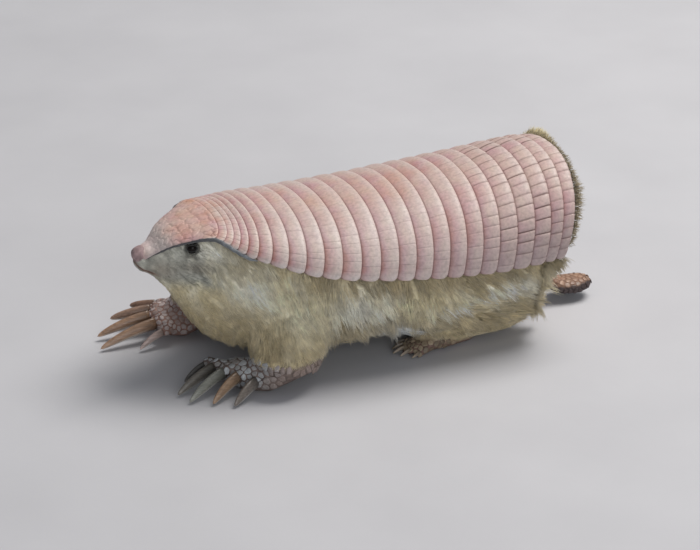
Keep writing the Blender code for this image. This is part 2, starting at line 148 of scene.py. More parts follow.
def station(s):
    """Edge x, crest x, half width, edge height and crest height at band coordinate s, on a smooth curve."""
    s = np.asarray(s, float)
    keys = STATIONS[:, 0]
    rows = STATIONS[:, 1:]
    last = len(keys) - 1
    k = np.clip(np.searchsorted(keys, s, side="right") - 1, 0, last - 1)
    span = keys[k + 1] - keys[k]
    f = ((s - keys[k]) / span)[..., None]
    after = np.minimum(np.arange(last + 1) + 1, last)
    before = np.maximum(np.arange(last + 1) - 1, 0)
    slopes = (rows[after] - rows[before]) / (keys[after] - keys[before])[:, None]
    rise = span[..., None]
    return (
        (2 * f**3 - 3 * f**2 + 1) * rows[k]
        + (f**3 - 2 * f**2 + f) * slopes[k] * rise
        + (3 * f**2 - 2 * f**3) * rows[k + 1]
        + (f**3 - f**2) * slopes[k + 1] * rise
    )


def arch_point(s, t, lift):
    """Points of the armour's surface: t is -1 at the left edge, 0 on the crest and 1 at the right."""
    s, t, lift = np.broadcast_arrays(np.asarray(s, float), t, lift)
    edge_x, crest_x, half_width, edge_z, crest_z = np.moveaxis(station(s), -1, 0)
    angle = t * math.pi / 2
    side = np.sign(t) * np.abs(np.sin(angle)) ** (2 / SQUARENESS)
    rise = np.maximum(np.cos(angle), 0) ** (2 / SQUARENESS)
    x = edge_x + (crest_x - edge_x) * rise
    y = (half_width + lift) * side
    z = edge_z + (crest_z + lift - edge_z) * rise
    return np.stack([x, y, z], axis=-1)


EDGE_LINE = station(np.linspace(-6, BAND_COUNT, 121))


def under_shell(points):
    """How far above the armour's lower edge a point of the flank lies, in mm."""
    return points[:, 2] - np.interp(points[:, 0], EDGE_LINE[:, 0], EDGE_LINE[:, 3])


# ---- materials -----------------------------------------------------------------------------------
class Finish:
    """A material under construction: shorthand for its nodes and links."""

    def __init__(self, name, roughness, specular=0.5, sheen=0.0, coat=0.0):
        self.material = bpy.data.materials.new(name)
        self.material.use_nodes = True
        self.tree = self.material.node_tree
        self.shader = self.tree.nodes["Principled BSDF"]
        self.shader.inputs["Roughness"].default_value = roughness
        self.shader.inputs["Specular IOR Level"].default_value = specular
        self.shader.inputs["Sheen Weight"].default_value = sheen
        self.shader.inputs["Coat Weight"].default_value = coat
        self.place = self.node("ShaderNodeTexCoord").outputs["Object"]

    def node(self, kind, inputs=None, **settings):
        made = self.tree.nodes.new(kind)
        for key, value in settings.items():
            setattr(made, key, value)
        for key, value in (inputs or {}).items():
            self.feed(made.inputs[key], value)
        return made

    def feed(self, socket, value):
        if isinstance(value, bpy.types.NodeSocket):
            self.tree.links.new(value, socket)
        else:
            socket.default_value = value

    def attribute(self, name):
        return self.node("ShaderNodeAttribute", attribute_name=name)

    def noise(self, size, detail=3.0, stretch=(1, 1, 1)):
        """Object-space noise whose features are about size mm across."""
        turned = self.node("ShaderNodeMapping", {"Vector": self.place, "Scale": stretch})
        inputs = {"Vector": turned.outputs[0], "Scale": 1 / (size * MM), "Detail": detail}
        return self.node("ShaderNodeTexNoise", inputs).outputs["Fac"]

    def cells(self, size, feature="DISTANCE_TO_EDGE"):
        inputs = {"Vector": self.place, "Scale": 1 / (size * MM)}
        return self.node("ShaderNodeTexVoronoi", inputs, feature=feature).outputs["Distance"]

    def math(self, operation, a, b):
        return self.node("ShaderNodeMath", {0: a, 1: b}, operation=operation, use_clamp=True).outputs[0]

    def ramp(self, factor, stops):
        made = self.node("ShaderNodeValToRGB", {"Fac": factor})
        elements = made.color_ramp.elements
        while len(elements) < len(stops):
            elements.new(0.5)
        for element, (place, colour) in zip(elements, stops):
            element.position = place
            element.color = (*colour, 1) if len(colour) == 3 else (colour[0],) * 3 + (1,)
        return made.outputs["Color"]

    def mix(self, factor, a, b, blend="MIX"):
        made = self.node("ShaderNodeMix", data_type="RGBA", blend_type=blend)
        self.feed(made.inputs["Factor"], factor)
        for socket, value in ((made.inputs["A"], a), (made.inputs["B"], b)):
            self.feed(socket, (*value, 1) if isinstance(value, tuple) and len(value) == 3 else value)
        return made.outputs["Result"]

    def finish(self, colour, bumps=(), roughness=None):
        """Feeds the shader its colour, a stack of bumps as (height, depth in mm), and a roughness."""
        self.feed(self.shader.inputs["Base Color"], colour)
        if roughness is not None:
            self.feed(self.shader.inputs["Roughness"], roughness)
        normal = None
        for height, depth in bumps:
            bump = self.node("ShaderNodeBump", {"Height": height, "Strength": 1.0, "Distance": depth * MM})
            if normal is not None:
                self.feed(bump.inputs["Normal"], normal)
            normal = bump.outputs["Normal"]
        if normal is not None:
            self.feed(self.shader.inputs["Normal"], normal)
        return self.material


CREAM = (0.66, 0.515, 0.435)
SHELL_PINK = (0.60, 0.375, 0.385)
SHELL_RED = (0.47, 0.19, 0.17)
MAUVE = (0.33, 0.26, 0.26)
ORANGE = (0.60, 0.32, 0.21)
CRACK_AND_SHADOW_BROWN = (0.11, 0.045, 0.035)
CHALK_AND_SHEEN = (0.66, 0.60, 0.57)
PALE_HORN = (0.52, 0.51, 0.47)
# Claw horn is drawn out along the claw, so its pattern is squeezed across it.
FIBRE_STRETCH = (0.25, 1.6, 1.6)


def horny_plate():
    """Pink horn: creamy where thick, red where thin, brown in its cracks and in painted shadow behind each
    lip, chalky on worn ends, with a painted sheen mid-flank.
    """
    f = Finish("horny_plate", roughness=0.42, specular=0.45)
    blush = f.attribute("blush").outputs["Fac"]
    mottle = f.noise(3.2, 4.0)
    uneven = f.math("ADD", f.math("MULTIPLY", mottle, 0.5), f.math("SUBTRACT", blush, 0.25))
    colour = f.ramp(uneven, [(0.12, CREAM), (0.50, SHELL_PINK), (0.90, SHELL_RED)])
    warmth = f.attribute("warmth").outputs["Fac"]
    patches = f.ramp(f.noise(7.0), [(0.35, (0.0,)), (0.7, (1.0,))])
    colour = f.mix(f.math("MULTIPLY", warmth, patches), colour, ORANGE)
    # Mauve and chalk are partly the horn's own colour and partly a painted reflection of the sky on the
    # middle of the flank.
    colour = f.mix(f.math("MULTIPLY", f.attribute("mauve").outputs["Fac"], 0.8), colour, MAUVE)
    colour = f.mix(f.math("MULTIPLY", f.attribute("pale").outputs["Fac"], 0.75), colour, CHALK_AND_SHEEN)
    speck = f.ramp(f.noise(0.7, 5.0), [(0.30, (0.78,)), (0.62, (1.06,))])
    colour = f.mix(0.8, colour, speck, "MULTIPLY")
    # Brown in the cracks, and painted shadow in the groove behind each hoop's lip.
    colour = f.mix(f.attribute("dark_lines").outputs["Fac"], colour, CRACK_AND_SHADOW_BROWN)
    gloss = f.ramp(f.noise(1.6, 4.0), [(0.3, (0.42,)), (0.75, (0.62,))])
    return f.finish(colour, [(f.noise(0.9, 5.0), 0.05), (f.noise(0.22, 2.0), 0.02)], gloss)


def living_skin():
    """Skin whose markings sit in its own attribute, with fine wrinkles and pores."""
    f = Finish("living_skin", roughness=0.62, specular=0.35)
    marks = f.attribute("coat_colour").outputs["Color"]
    mottle = f.ramp(f.noise(1.1, 4.0), [(0.3, (0.72,)), (0.7, (1.15,))])
    colour = f.mix(1.0, marks, mottle, "MULTIPLY")
    return f.finish(colour, [(f.noise(0.45, 4.0), 0.10), (f.cells(0.35), 0.03)])


def silky_coat():
    """Hair with a soft sheen, streaked over the colour that each hair carries."""
    f = Finish("silky_coat", roughness=0.62, specular=0.25, sheen=0.25)
    f.shader.inputs["Sheen Roughness"].default_value = 0.5
    marks = f.attribute("coat_colour").outputs["Color"]
    streaks = f.ramp(f.noise(1.6, 3.0), [(0.3, (0.86,)), (0.7, (1.10,))])
    return f.finish(f.mix(1.0, marks, streaks, "MULTIPLY"))


def foot_scale():
    """Small pale scutes, greyer and browner from one to the next."""
    f = Finish("foot_scale", roughness=0.42, specular=0.45)
    marks = f.attribute("coat_colour").outputs["Color"]
    worn = f.ramp(f.noise(0.5, 4.0), [(0.3, (0.7,)), (0.7, (1.12,))])
    return f.finish(f.mix(1.0, marks, worn, "MULTIPLY"), [(f.noise(0.3, 3.0), 0.03)])


def claw_horn():
    """Horn in lengthwise fibres over each claw's tone: dark at the root, paler at the tip and edges."""
    f = Finish("claw_horn", roughness=0.34, specular=0.5, coat=0.15)
    tone = f.attribute("tone").outputs["Color"]
    along = f.attribute("along").outputs["Fac"]
    root_to_tip = f.ramp(along, [(0.0, (0.55,)), (0.3, (0.9,)), (0.85, (1.05,)), (1.0, (1.5,))])
    blade = f.mix(1.0, tone, root_to_tip, "MULTIPLY")
    fibres = f.ramp(f.noise(0.5, 4.0, FIBRE_STRETCH), [(0.3, (0.6,)), (0.7, (1.25,))])
    colour = f.mix(0.85, blade, fibres, "MULTIPLY")
    colour = f.mix(f.attribute("rim").outputs["Fac"], colour, PALE_HORN)
    grain = f.noise(0.35, 3.0, FIBRE_STRETCH)
    gloss = f.ramp(f.noise(0.8), [(0.3, (0.25,)), (0.7, (0.48,))])
    return f.finish(colour, [(grain, 0.05)], gloss)


def wet_eye():
    """A nearly black eyeball, wet enough to hold a small highlight."""
    f = Finish("wet_eye", roughness=0.09, specular=0.13)
    return f.finish(f.ramp(f.noise(0.8), [(0.3, (0.004, 0.003, 0.003)), (0.8, (0.012, 0.008, 0.006))]))


def pale_floor():
    f = Finish("pale_floor", roughness=0.55, specular=0.3)
    clouds = f.ramp(f.noise(40.0, 4.0), [(0.3, (0.545, 0.54, 0.56)), (0.7, (0.585, 0.58, 0.60))])
    return f.finish(clouds, [(f.noise(1.2), 0.02)])


# ---- meshes --------------------------------------------------------------------------------------
def deselect():
    bpy.ops.object.select_all(action="DESELECT")


def work_on(thing):
    deselect()
    thing.select_set(True)
    bpy.context.view_layer.objects.active = thing


def read_points(mesh):
    points = np.empty(len(mesh.vertices) * 3, np.float32)
    mesh.vertices.foreach_get("co", points)
    return points.reshape(-1, 3).astype(float) / MM - SHIFT


def write_points(mesh, points):
    mesh.vertices.foreach_set("co", ((points + SHIFT) * MM).astype(np.float32).ravel())
    mesh.update()


def read_normals(mesh):
    normals = np.empty(len(mesh.vertices) * 3, np.float32)
    mesh.vertices.foreach_get("normal", normals)
    return normals.reshape(-1, 3).astype(float)


def put_in_scene(name, data):
    """A new object in the scene for a mesh, a light or a camera."""
    thing = bpy.data.objects.new(name, data)
    bpy.context.scene.collection.objects.link(thing)
    return thing


def keep_values(mesh, name, values):
    """Stores a number or a colour for every vertex."""
    values = np.asarray(values, np.float32)
    if values.ndim == 2:
        layer = mesh.attributes.new(name, "FLOAT_COLOR", "POINT")
        layer.data.foreach_set("color", np.column_stack([values, np.ones(len(values), np.float32)]).ravel())
    else:
        mesh.attributes.new(name, "FLOAT", "POINT").data.foreach_set("value", values.ravel())


def dress(thing, material, slot, *nodes):
    """Gives a finished piece its material and its body, and hides the solids that it stands for. The slot is
    not used.
    """
    thing.data.materials.clear()
    thing.data.materials.append(material)
    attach(thing, "root")
    if nodes:
        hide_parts(*nodes)


def wrapped_grid(name, points, values=None):
    """A closed piece from a grid primitive: each column of points is a loop, drawn in at either end."""
    points = np.concatenate([points, points[:1]])
    rows, columns = points.shape[:2]
    deselect()
    bpy.ops.mesh.primitive_grid_add(
        x_subdivisions=columns - 1,
        y_subdivisions=rows - 1,
        size=MM,
        calc_uvs=False,
    )
    thing = bpy.context.object
    thing.name = name
    thing.data.name = name
    write_points(thing.data, points.reshape(-1, 3))
    for key, field in (values or {}).items():
        field = np.broadcast_to(field, (rows - 1, columns))
        keep_values(thing.data, key, np.concatenate([field, field[:1]]).ravel())
    bpy.ops.object.mode_set(mode="EDIT")
    bpy.ops.mesh.select_all(action="SELECT")
    bpy.ops.mesh.remove_doubles(threshold=WELD)
    bpy.ops.mesh.normals_make_consistent(inside=False)
    bpy.ops.object.mode_set(mode="OBJECT")
    thing.data.shade_smooth()
    return thing


# ---- shell ---------------------------------------------------------------------------------------
def rounded(distance, radius):
    """1 well inside an edge, falling on a quarter circle to 0 at the edge itself."""
    share = np.clip(distance / radius, 0, 1)
    return np.sqrt(np.clip(1 - (1 - share) ** 2, 0, 1))


# A hoop's cross-section, from its buried front round its lip to its inside: the share of its width, and the
# height in mm. Only the outside is marked by scutes.
HOOP = np.array(
    [
        [0.00, -0.45], [-0.02, -0.30], [0.02, -0.16], [0.08, -0.04], [0.16, 0.14], [0.28, 0.32],
        [0.42, 0.47], [0.56, 0.58], [0.69, 0.67], [0.80, 0.72], [0.89, 0.71], [0.96, 0.62],
        [1.01, 0.46], [1.035, 0.26], [1.03, 0.08], [1.00, -0.10], [0.96, -0.45], [0.92, -0.70],
        [0.60, -0.72], [0.30, -0.72], [0.04, -0.66],
    ]
)
HOOP_OUTSIDE = slice(2, 15)
HOOP_MIDDLE = -0.1
# Where each scute of a hoop has its columns of points, as shares of its length.
SCUTE_STEPS = np.array([0.0, 0.05, 0.12, 0.3, 0.5, 0.7, 0.88, 0.95])
# How many scutes a hoop has, by its number.
SCUTE_COUNTS = ((0, 5, 10, 23), (15, 20, 22, 23))
# The blush across a hoop: red under the band ahead, creamy on the raised lip, red again under that.
BLUSH_STRIPE = ((0.0, 0.2, 0.5, 0.78, 0.97, 1.02, 1.04), (1.0, 0.88, 0.45, 0.08, 0.0, 0.3, 0.8))
# An arch is about this much longer than the straight line from its edge to its crest.
ARC_OVER_CHORD = 1.2
# The rings of scutes on the rump plate, from its rim in to the notch.
RUMP_RINGS = (0.94, 0.80, 0.655, 0.51, 0.37, 0.23, 0.09)
# The brow plate: where it runs out in front and its rows of scutes, as band coordinates, and half its arc
# in mm.
BROW_FRONT = -7.91
BROW_ROWS = (-7.5, -6.5, -5.6, -5.0, -4.3, -3.5, -2.65, -1.75, -0.9, -0.22)
BROW_HALF_ARC = 15.0
# The slate fold's thickness along the armour's edge, from nose to shoulder.
FOLD_THICKNESS = ((-7.6, -6.6, -5.2, -2.0, 0.5, 4.6, 5.2), (0.03, 0.10, 0.19, 0.32, 0.42, 0.36, 0.05))
SLATE = np.array([0.11, 0.11, 0.115])
SLATE_TO_BLUE = np.array([0.20, 0.23, 0.25])


def hoop_columns(i):
    """A hoop's scutes and columns: place on the arch, scute, place in it, and mm to the end and to a seam."""
    count = int(round(np.interp(i, *SCUTE_COUNTS)))
    cuts = np.linspace(-1, 1, count + 1)
    cuts[1:-1] += (0.25 * (-1) ** i + rng.uniform(-0.16, 0.16, count - 1)) * 2 / count
    lengths = np.diff(cuts)
    t = np.append((cuts[:-1, None] + lengths[:, None] * SCUTE_STEPS).ravel(), 1.0)
    cell = np.append(np.repeat(np.arange(count), len(SCUTE_STEPS)), count - 1)
    within = np.append(np.tile(SCUTE_STEPS, count), 1.0)
    measures = station(i + 0.5)
    half_arc = ARC_OVER_CHORD * math.hypot(measures[2], measures[4] - measures[3])
    to_end = (1 - np.abs(t)) * half_arc
    to_seam = np.minimum(within, 1 - within) * lengths[cell] * half_arc
    # The last millimetre before an end has no seam.
    to_seam[to_end < 1.0] = 9.0
    return count, t, cell, within, to_end, to_seam


def hoop(i, material):
    """One band of the shell: a hoop of oblong scutes with a raised lip and rounded ends."""
    count, t, cell, within, to_end, to_seam = hoop_columns(i)
    out = np.abs(t)
    rear = ease(15.5, 20.5, i)
    fore = ease(5, 1, i)
    aft = ease(8, 22, i)
    share = HOOP[:, :1]
    height = HOOP[:, 1:]
    outside = np.zeros((len(HOOP), 1))
    outside[HOOP_OUTSIDE] = 1

    deep = (0.10 + 0.22 * rear) * rng.uniform(0.3, 1.0, count + 1)[np.round(cell + within).astype(int)]
    crease = np.exp(-((to_seam / (0.10 + 0.09 * rear)) ** 2))
    upward = np.where(t < 0, within, 1 - within)
    unevenness = soft_noise(np.column_stack([t * 20, np.full(len(t), i * 7.0), t * 0]), 6.0, i)
    lift = height * (1 - 0.72 * fore * (height > 0)) + 0 * t
    lift = lift - outside * (deep * crease * ease(-0.1, 0.15, share))
    lift = lift + outside * rear * 0.12 * (upward - 0.5)
    lift = lift + outside * 0.05 * unevenness
    lift = HOOP_MIDDLE + (lift - HOOP_MIDDLE) * rounded(to_end, 0.5)
    s = i + 0.5 + (share - 0.5) * (0.30 + 0.70 * rounded(to_end, 1.5)) * (to_end > 1e-9)
    points = arch_point(s, t, lift)

    fade = (0.42 + 0.58 * ease(0.25, 0.95, out)) * (1 - 0.45 * fore)
    tint = rng.uniform(-1, 1, count)[cell]
    stripe = np.interp(share, *BLUSH_STRIPE)
    drift = soft_noise(points.reshape(-1, 3), 14.0, 3).reshape(points.shape[:2])
    blush = 0.15 + stripe * fade * (0.78 - 0.36 * rear) + 0.06 * tint + 0.10 * drift

    broken = rng.choice([0.25, 0.6, 1.0], count, p=[0.3, 0.35, 0.35])[cell]
    darkness = 0.15 + 0.35 * fore + 1.0 * rear * broken * ease(0.97, 0.7, out)
    dark_lines = crease * outside * darkness * rng.uniform(0.5, 1.0, count)[cell]
    # Painted shadow: in the groove at the front of each hoop, just behind the lip of the hoop ahead, and on
    # the back of its own lip.
    lip_shadow = (ease(0.17, 0.04, share) * 0.66 + ease(1.0, 1.04, share) * 0.45) * (1 - 0.6 * fore)

    warmth = 0.12 + 0.45 * fore + 0.35 * ease(0.5, 0.1, out) * (1 - rear) + 0.15 * (1 - rear) * drift

    side = ease(0.25, 0.75, out)
    mauve = 0.10 * aft + 0.28 * aft * side
    mauve = mauve + ease(0.55, 0.97, out) * (0.14 + 0.52 * aft) * (1 - 0.35 * share)
    pale = ease(0.88, 0.97, out) * (0.7 - 0.55 * ease(8, 18, i))
    pale = pale + 0.42 * ease(0.45, 0.8, share) * (1 - 0.85 * aft * side)
    # Painted sheen: the middle of the flank is made paler, a little more mauve and less red, where the horn
    # reflects the sky.
    mid_flank_sheen = ease(0.10, 0.32, out) * ease(0.95, 0.8, out) * ease(3, 7, i) * (1 - aft)
    pale = pale + 0.30 * mid_flank_sheen
    mauve = mauve + 0.08 * mid_flank_sheen
    # Less red where the painted sheen lies, and on the pale lower ends.
    less_blush = 0.30 * mid_flank_sheen + 0.40 * ease(0.8, 0.95, out) * (1 - aft)
    blush = blush * (1 - less_blush * ease(0.12, 0.5, share))
    blush = blush + 0.10 * ease(0.45, 0.8, out) * ease(0.35, 0.1, share)

    values = {
        "blush": blush,
        # Dark cracks and the painted lip shadow share one attribute.
        "dark_lines": np.maximum(dark_lines, lip_shadow),
        "warmth": warmth,
        "mauve": mauve,
        "pale": pale,
    }
    fields = {key: np.clip(field, 0, 1) for key, field in values.items()}
    thing = wrapped_grid(f"shell_hoop_{i + 1:02d}", points, fields)
    dress(thing, material, "armour", f"band_{i + 1:02d}")


def seam_gaps(points, seeds, shape):
    """For each point, how much nearer its own seed is than the next, 0 on a seam, and which seed that is."""
    gaps = np.linalg.norm(points[:, None] - seeds[None], axis=-1)
    order = np.argsort(gaps, axis=1)[:, :2]
    rows = np.arange(len(points))
    gap = gaps[rows, order[:, 1]] - gaps[rows, order[:, 0]]
    return gap.reshape(shape), order[:, 0].reshape(shape)


def carried_inside(values, inside):
    """A plate's fields, clipped and carried over its edge on to the grid of points on its inside."""
    return {
        key: np.clip(np.concatenate([field, np.zeros(inside.shape[:2]) + field[-1:]]), 0, 1)
        for key, field in values.items()
    }


def brow_seeds():
    """The middles of the brow's scutes, which grow larger and lie in tidier rows towards the nape."""
    seeds = []
    for row, at in enumerate(BROW_ROWS, -2):
        width = station(at)[2]
        count = max(3, int(round(2.2 * width / (1.5 + 0.13 * row))))
        stray = 0.18 if row > 5 else 0.42
        for k in range(count):
            place = -1 + 2 * (k + 0.5 + (row % 2) * 0.25) / count
            s = at + rng.uniform(-stray, stray) * 0.7
            t = np.clip(place + rng.uniform(-stray, stray) / count, -1, 1)
            seeds.append(arch_point(s, t, 0.25))
    return np.array(seeds)


def brow_plate(material):
    """The plate over the brow, cobbled with uneven scutes that grow larger towards the nape."""
    s = np.concatenate([[-7.9], np.linspace(-7.88, -0.06, 112), [-0.02]])
    t = np.linspace(-1, 1, 171)
    to_end = (1 - np.abs(t)) * BROW_HALF_ARC
    grid_s, grid_t = np.meshgrid(s, t, indexing="ij")
    out = np.abs(grid_t)
    flat = arch_point(grid_s, grid_t, 0.25).reshape(-1, 3)
    flat = flat + 0.28 * wander(flat, 1.6, 41)
    seeds = brow_seeds()
    gap, cell = seam_gaps(flat, seeds, grid_s.shape)
    crease = np.exp(-((gap / 0.22) ** 2))
    dome = 1 - np.exp(-gap / 0.5)
    tip = rounded(to_end, 0.6)
    ends = (rounded((s - BROW_FRONT) * 1.4, 1.6) * rounded(-s * 2.1, 0.5))[:, None]
    front = ease(-4.6, -6.4, grid_s)
    relief = 0.13 * dome * rng.uniform(0.5, 1.4, len(seeds))[cell] - 0.08 * crease
    lift = 0.14 + (1 - 0.75 * front) * relief + 0.12 * ease(-1.4, -0.3, grid_s)
    lift = lift - 0.22 * ease(-6.6, -7.7, grid_s)
    lift = -0.2 + (lift + 0.2) * tip * ends
    outer = arch_point(grid_s, grid_t, lift)
    inner_s = np.linspace(-0.1, -7.8, 11)
    inner = arch_point(inner_s[:, None], t[None], -0.2 - 0.5 * tip)

    tint = rng.uniform(-1, 1, len(seeds))[cell]
    drift = soft_noise(flat, 5.0, 8).reshape(grid_s.shape)
    nape = ease(-2.2, -0.2, grid_s)
    corner = ease(0.80, 0.97, out) * ease(-1.4, -0.4, grid_s)
    seam = 0.20 - 0.18 * front + 0.45 * nape * ease(0.35, 0.75, out) * (tint > -0.2)
    mauve = 0.14 * ease(-3.4, -5.7, grid_s) + 0.25 * ease(-6.4, -7.7, grid_s)
    # Paler over the front half of the plate, short of its tip.
    paler_zone = 0.85 * ease(-2.8, -4.8, grid_s) * ease(-8.0, -6.2, grid_s)
    values = {
        "blush": 0.30 + 0.10 * tint + 0.14 * drift + 0.22 * crease * nape,
        # Dark seams between the scutes, and a dark line along the plate's very edge that is partly dark horn
        # and partly painted shade where the plate meets the skin.
        "dark_lines": crease * seam + 0.5 * ease(0.975, 1.0, out),
        "warmth": 0.50 + 0.3 * nape + 0.15 * drift - 0.35 * ease(-4.0, -5.5, grid_s),
        "mauve": mauve + 0.35 * ease(0.80, 0.99, out) * (1 - nape),
        "pale": corner * 0.9 + 0.10 * (tint > 0.5) + paler_zone,
    }
    points = np.concatenate([outer, inner])
    thing = wrapped_grid("brow_plate", points, carried_inside(values, inner))
    dress(thing, material, "armour", "head_shield")


def brow_fold(material):
    """The slate-grey roll of skin that hems the armour from the nose back over the shoulder."""
    own = np.random.default_rng(61)
    s = np.linspace(FOLD_THICKNESS[0][0], FOLD_THICKNESS[0][-1], 170)
    around = turns(12)
    for hand, side in SIDES.items():
        spine = arch_point(s, 0.992 * side, np.interp(s, [-3.6, 0.6, 4.6], [-0.15, 0.22, 0.15]))
        spine[:, 2] -= np.interp(s, [-7.6, -5.0], [0.10, 0.32])
        spine += 0.07 * wander(spine, 2.2, 62)
        along = unit(np.gradient(spine, axis=0))
        outward = unit(np.cross(along, np.array([0, 0, 1.0]) * -side))
        upward = np.cross(along, outward) * side
        thick = np.interp(s, *FOLD_THICKNESS)
        thick[[0, -1]] = 0.0
        turned = np.cos(around)[:, None, None] * outward + 1.15 * np.sin(around)[:, None, None] * upward
        thing = wrapped_grid(f"brow_fold_{hand}", spine[None] + thick[None, :, None] * turned)
        at = read_points(thing.data)
        grey = SLATE + ease(15, 24, at[:, 0])[:, None] * 0.6 * SLATE_TO_BLUE
        keep_values(thing.data, "coat_colour", grey * own.uniform(0.85, 1.15, (len(at), 1)))
        dress(thing, material, "bare_skin")


def rump_x(y, z):
    """Where the rump's blunt face lies along the body, at a place across it and a height."""
    edge_x, crest_x, half_width, edge_z, crest_z = station(float(BAND_COUNT))
    rise = np.maximum(z - edge_z, 0) / (crest_z - edge_z)
    return edge_x + (crest_x - edge_x) * rise - 0.9 + 2.0 * (1 - (y / half_width) ** 2)


def rump_point(row, turn, inward):
    """A point of the rump: row runs from the notch at 0 to the rim at 1, and turn is 0 at the top."""
    side = np.sign(turn) * np.abs(np.sin(turn)) ** (2 / SQUARENESS)
    rise = np.sign(np.cos(turn)) * np.abs(np.cos(turn)) ** (2 / SQUARENESS)
    reach = np.where(rise > 0, RUMP["rise"], RUMP["drop"])
    inner_y = RUMP["notch"] * np.sin(turn)
    inner_z = RUMP["centre"] - 7.2 + RUMP["notch"] * np.cos(turn)
    y = inner_y + (RUMP["half_width"] * side - inner_y) * row
    z = inner_z + (RUMP["centre"] + reach * rise - inner_z) * row
    return np.stack([rump_x(y, z) - inward, y, z], axis=-1)


def rump_seeds(opening):
    """The middles of the rump's scutes, in rings round the notch."""
    seeds = []
    for k, at in enumerate(RUMP_RINGS):
        line = rump_point(np.full(400, at), np.linspace(-opening, opening, 400), 0.0)
        length = np.concatenate([[0], np.cumsum(np.linalg.norm(np.diff(line, axis=0), axis=1))])
        count = max(4, int(length[-1] / 2.5))
        marks = (np.arange(count) + 0.5 + 0.5 * (k % 2)) / count * length[-1]
        marks = marks + rng.uniform(-0.2, 0.2, count)
        seeds.extend(np.column_stack([np.interp(marks, length, line[:, axis]) for axis in range(3)]))
    return np.array(seeds)


def rump_plate(material):
    """The blunt plate over the rump: a horseshoe of scutes in rings round the notch for the tail."""
    opening = math.radians(RUMP["opening"])
    turn = np.linspace(-opening, opening, 241)
    row = np.linspace(0, 1, 56)
    grid_row, grid_turn = np.meshgrid(row, turn, indexing="ij")
    flat = rump_point(grid_row, grid_turn, 0.0).reshape(-1, 3)
    seeds = rump_seeds(opening)
    gap, cell = seam_gaps(flat, seeds, grid_row.shape)
    crease = np.exp(-((gap / 0.30) ** 2))
    margin = np.minimum((1 - grid_row) * 16, grid_row * 12)
    side_margin = (opening - np.abs(grid_turn)) * (4 + 14 * grid_row)
    edge = rounded(np.minimum(margin, side_margin), 0.6)
    raise_by = (0.22 * (1 - np.exp(-gap / 0.5)) - 0.12 * crease) * edge - 0.45 * (1 - edge)
    outer = rump_point(grid_row, grid_turn, -raise_by)
    inner_row = np.linspace(1, 0, 10)
    depth = 0.5 + 0.5 * rounded((opening - np.abs(turn)) * 10, 0.6)
    inner = rump_point(inner_row[:, None], turn[None], depth[None])

    tint = rng.uniform(-1, 1, len(seeds))[cell]
    drift = soft_noise(flat, 9.0, 9).reshape(grid_row.shape)
    values = {
        "blush": 0.20 + 0.10 * tint + 0.10 * drift,
        "dark_lines": crease * 0.62 * rng.uniform(0.5, 1.0, len(seeds))[cell],
        "warmth": 0.22 + 0.2 * drift,
        "mauve": 0.14 + 0.30 * ease(24, 14, flat[:, 2]).reshape(grid_row.shape),
        "pale": 0.30 + 0.25 * (tint > 0.3),
    }
    thing = wrapped_grid("rump_plate", np.concatenate([outer, inner]), carried_inside(values, inner))
    close_ends(thing)
    dress(thing, material, "armour", "rump_shield")


def close_ends(thing):
    """Fills whatever loops are still open."""
    work_on(thing)
    bpy.ops.object.mode_set(mode="EDIT")
    bpy.ops.mesh.select_all(action="SELECT")
    bpy.ops.mesh.fill_holes(sides=0)
    bpy.ops.mesh.normals_make_consistent(inside=False)
    bpy.ops.object.mode_set(mode="OBJECT")
    thing.data.shade_smooth()


# ---- skin ----------------------------------------------------------------------------------------
CREAM_HAIR = np.array([0.86, 0.765, 0.51])
PALE_HAIR = np.array([0.93, 0.90, 0.78])
KHAKI_HAIR = np.array([0.48, 0.39, 0.23])
FACE_HAIR = np.array([0.50, 0.495, 0.43])
BLUE_HAIR = np.array([0.80, 0.84, 0.86])
SOOTY_HAIR = np.array([0.20, 0.175, 0.135])
BROWN_SKIN = np.array([0.20, 0.125, 0.10])
NOSE_SKIN = np.array([0.36, 0.25, 0.25])
TAIL_SKIN = np.array([0.26, 0.15, 0.10])
TAIL_EDGE_SHADE = np.array([0.05, 0.035, 0.035])
MOUTH_BROWN = np.array([0.14, 0.06, 0.04])
RIM_GREY = np.array([0.12, 0.12, 0.13])
SOCKET_GREY = np.array([0.09, 0.09, 0.085])

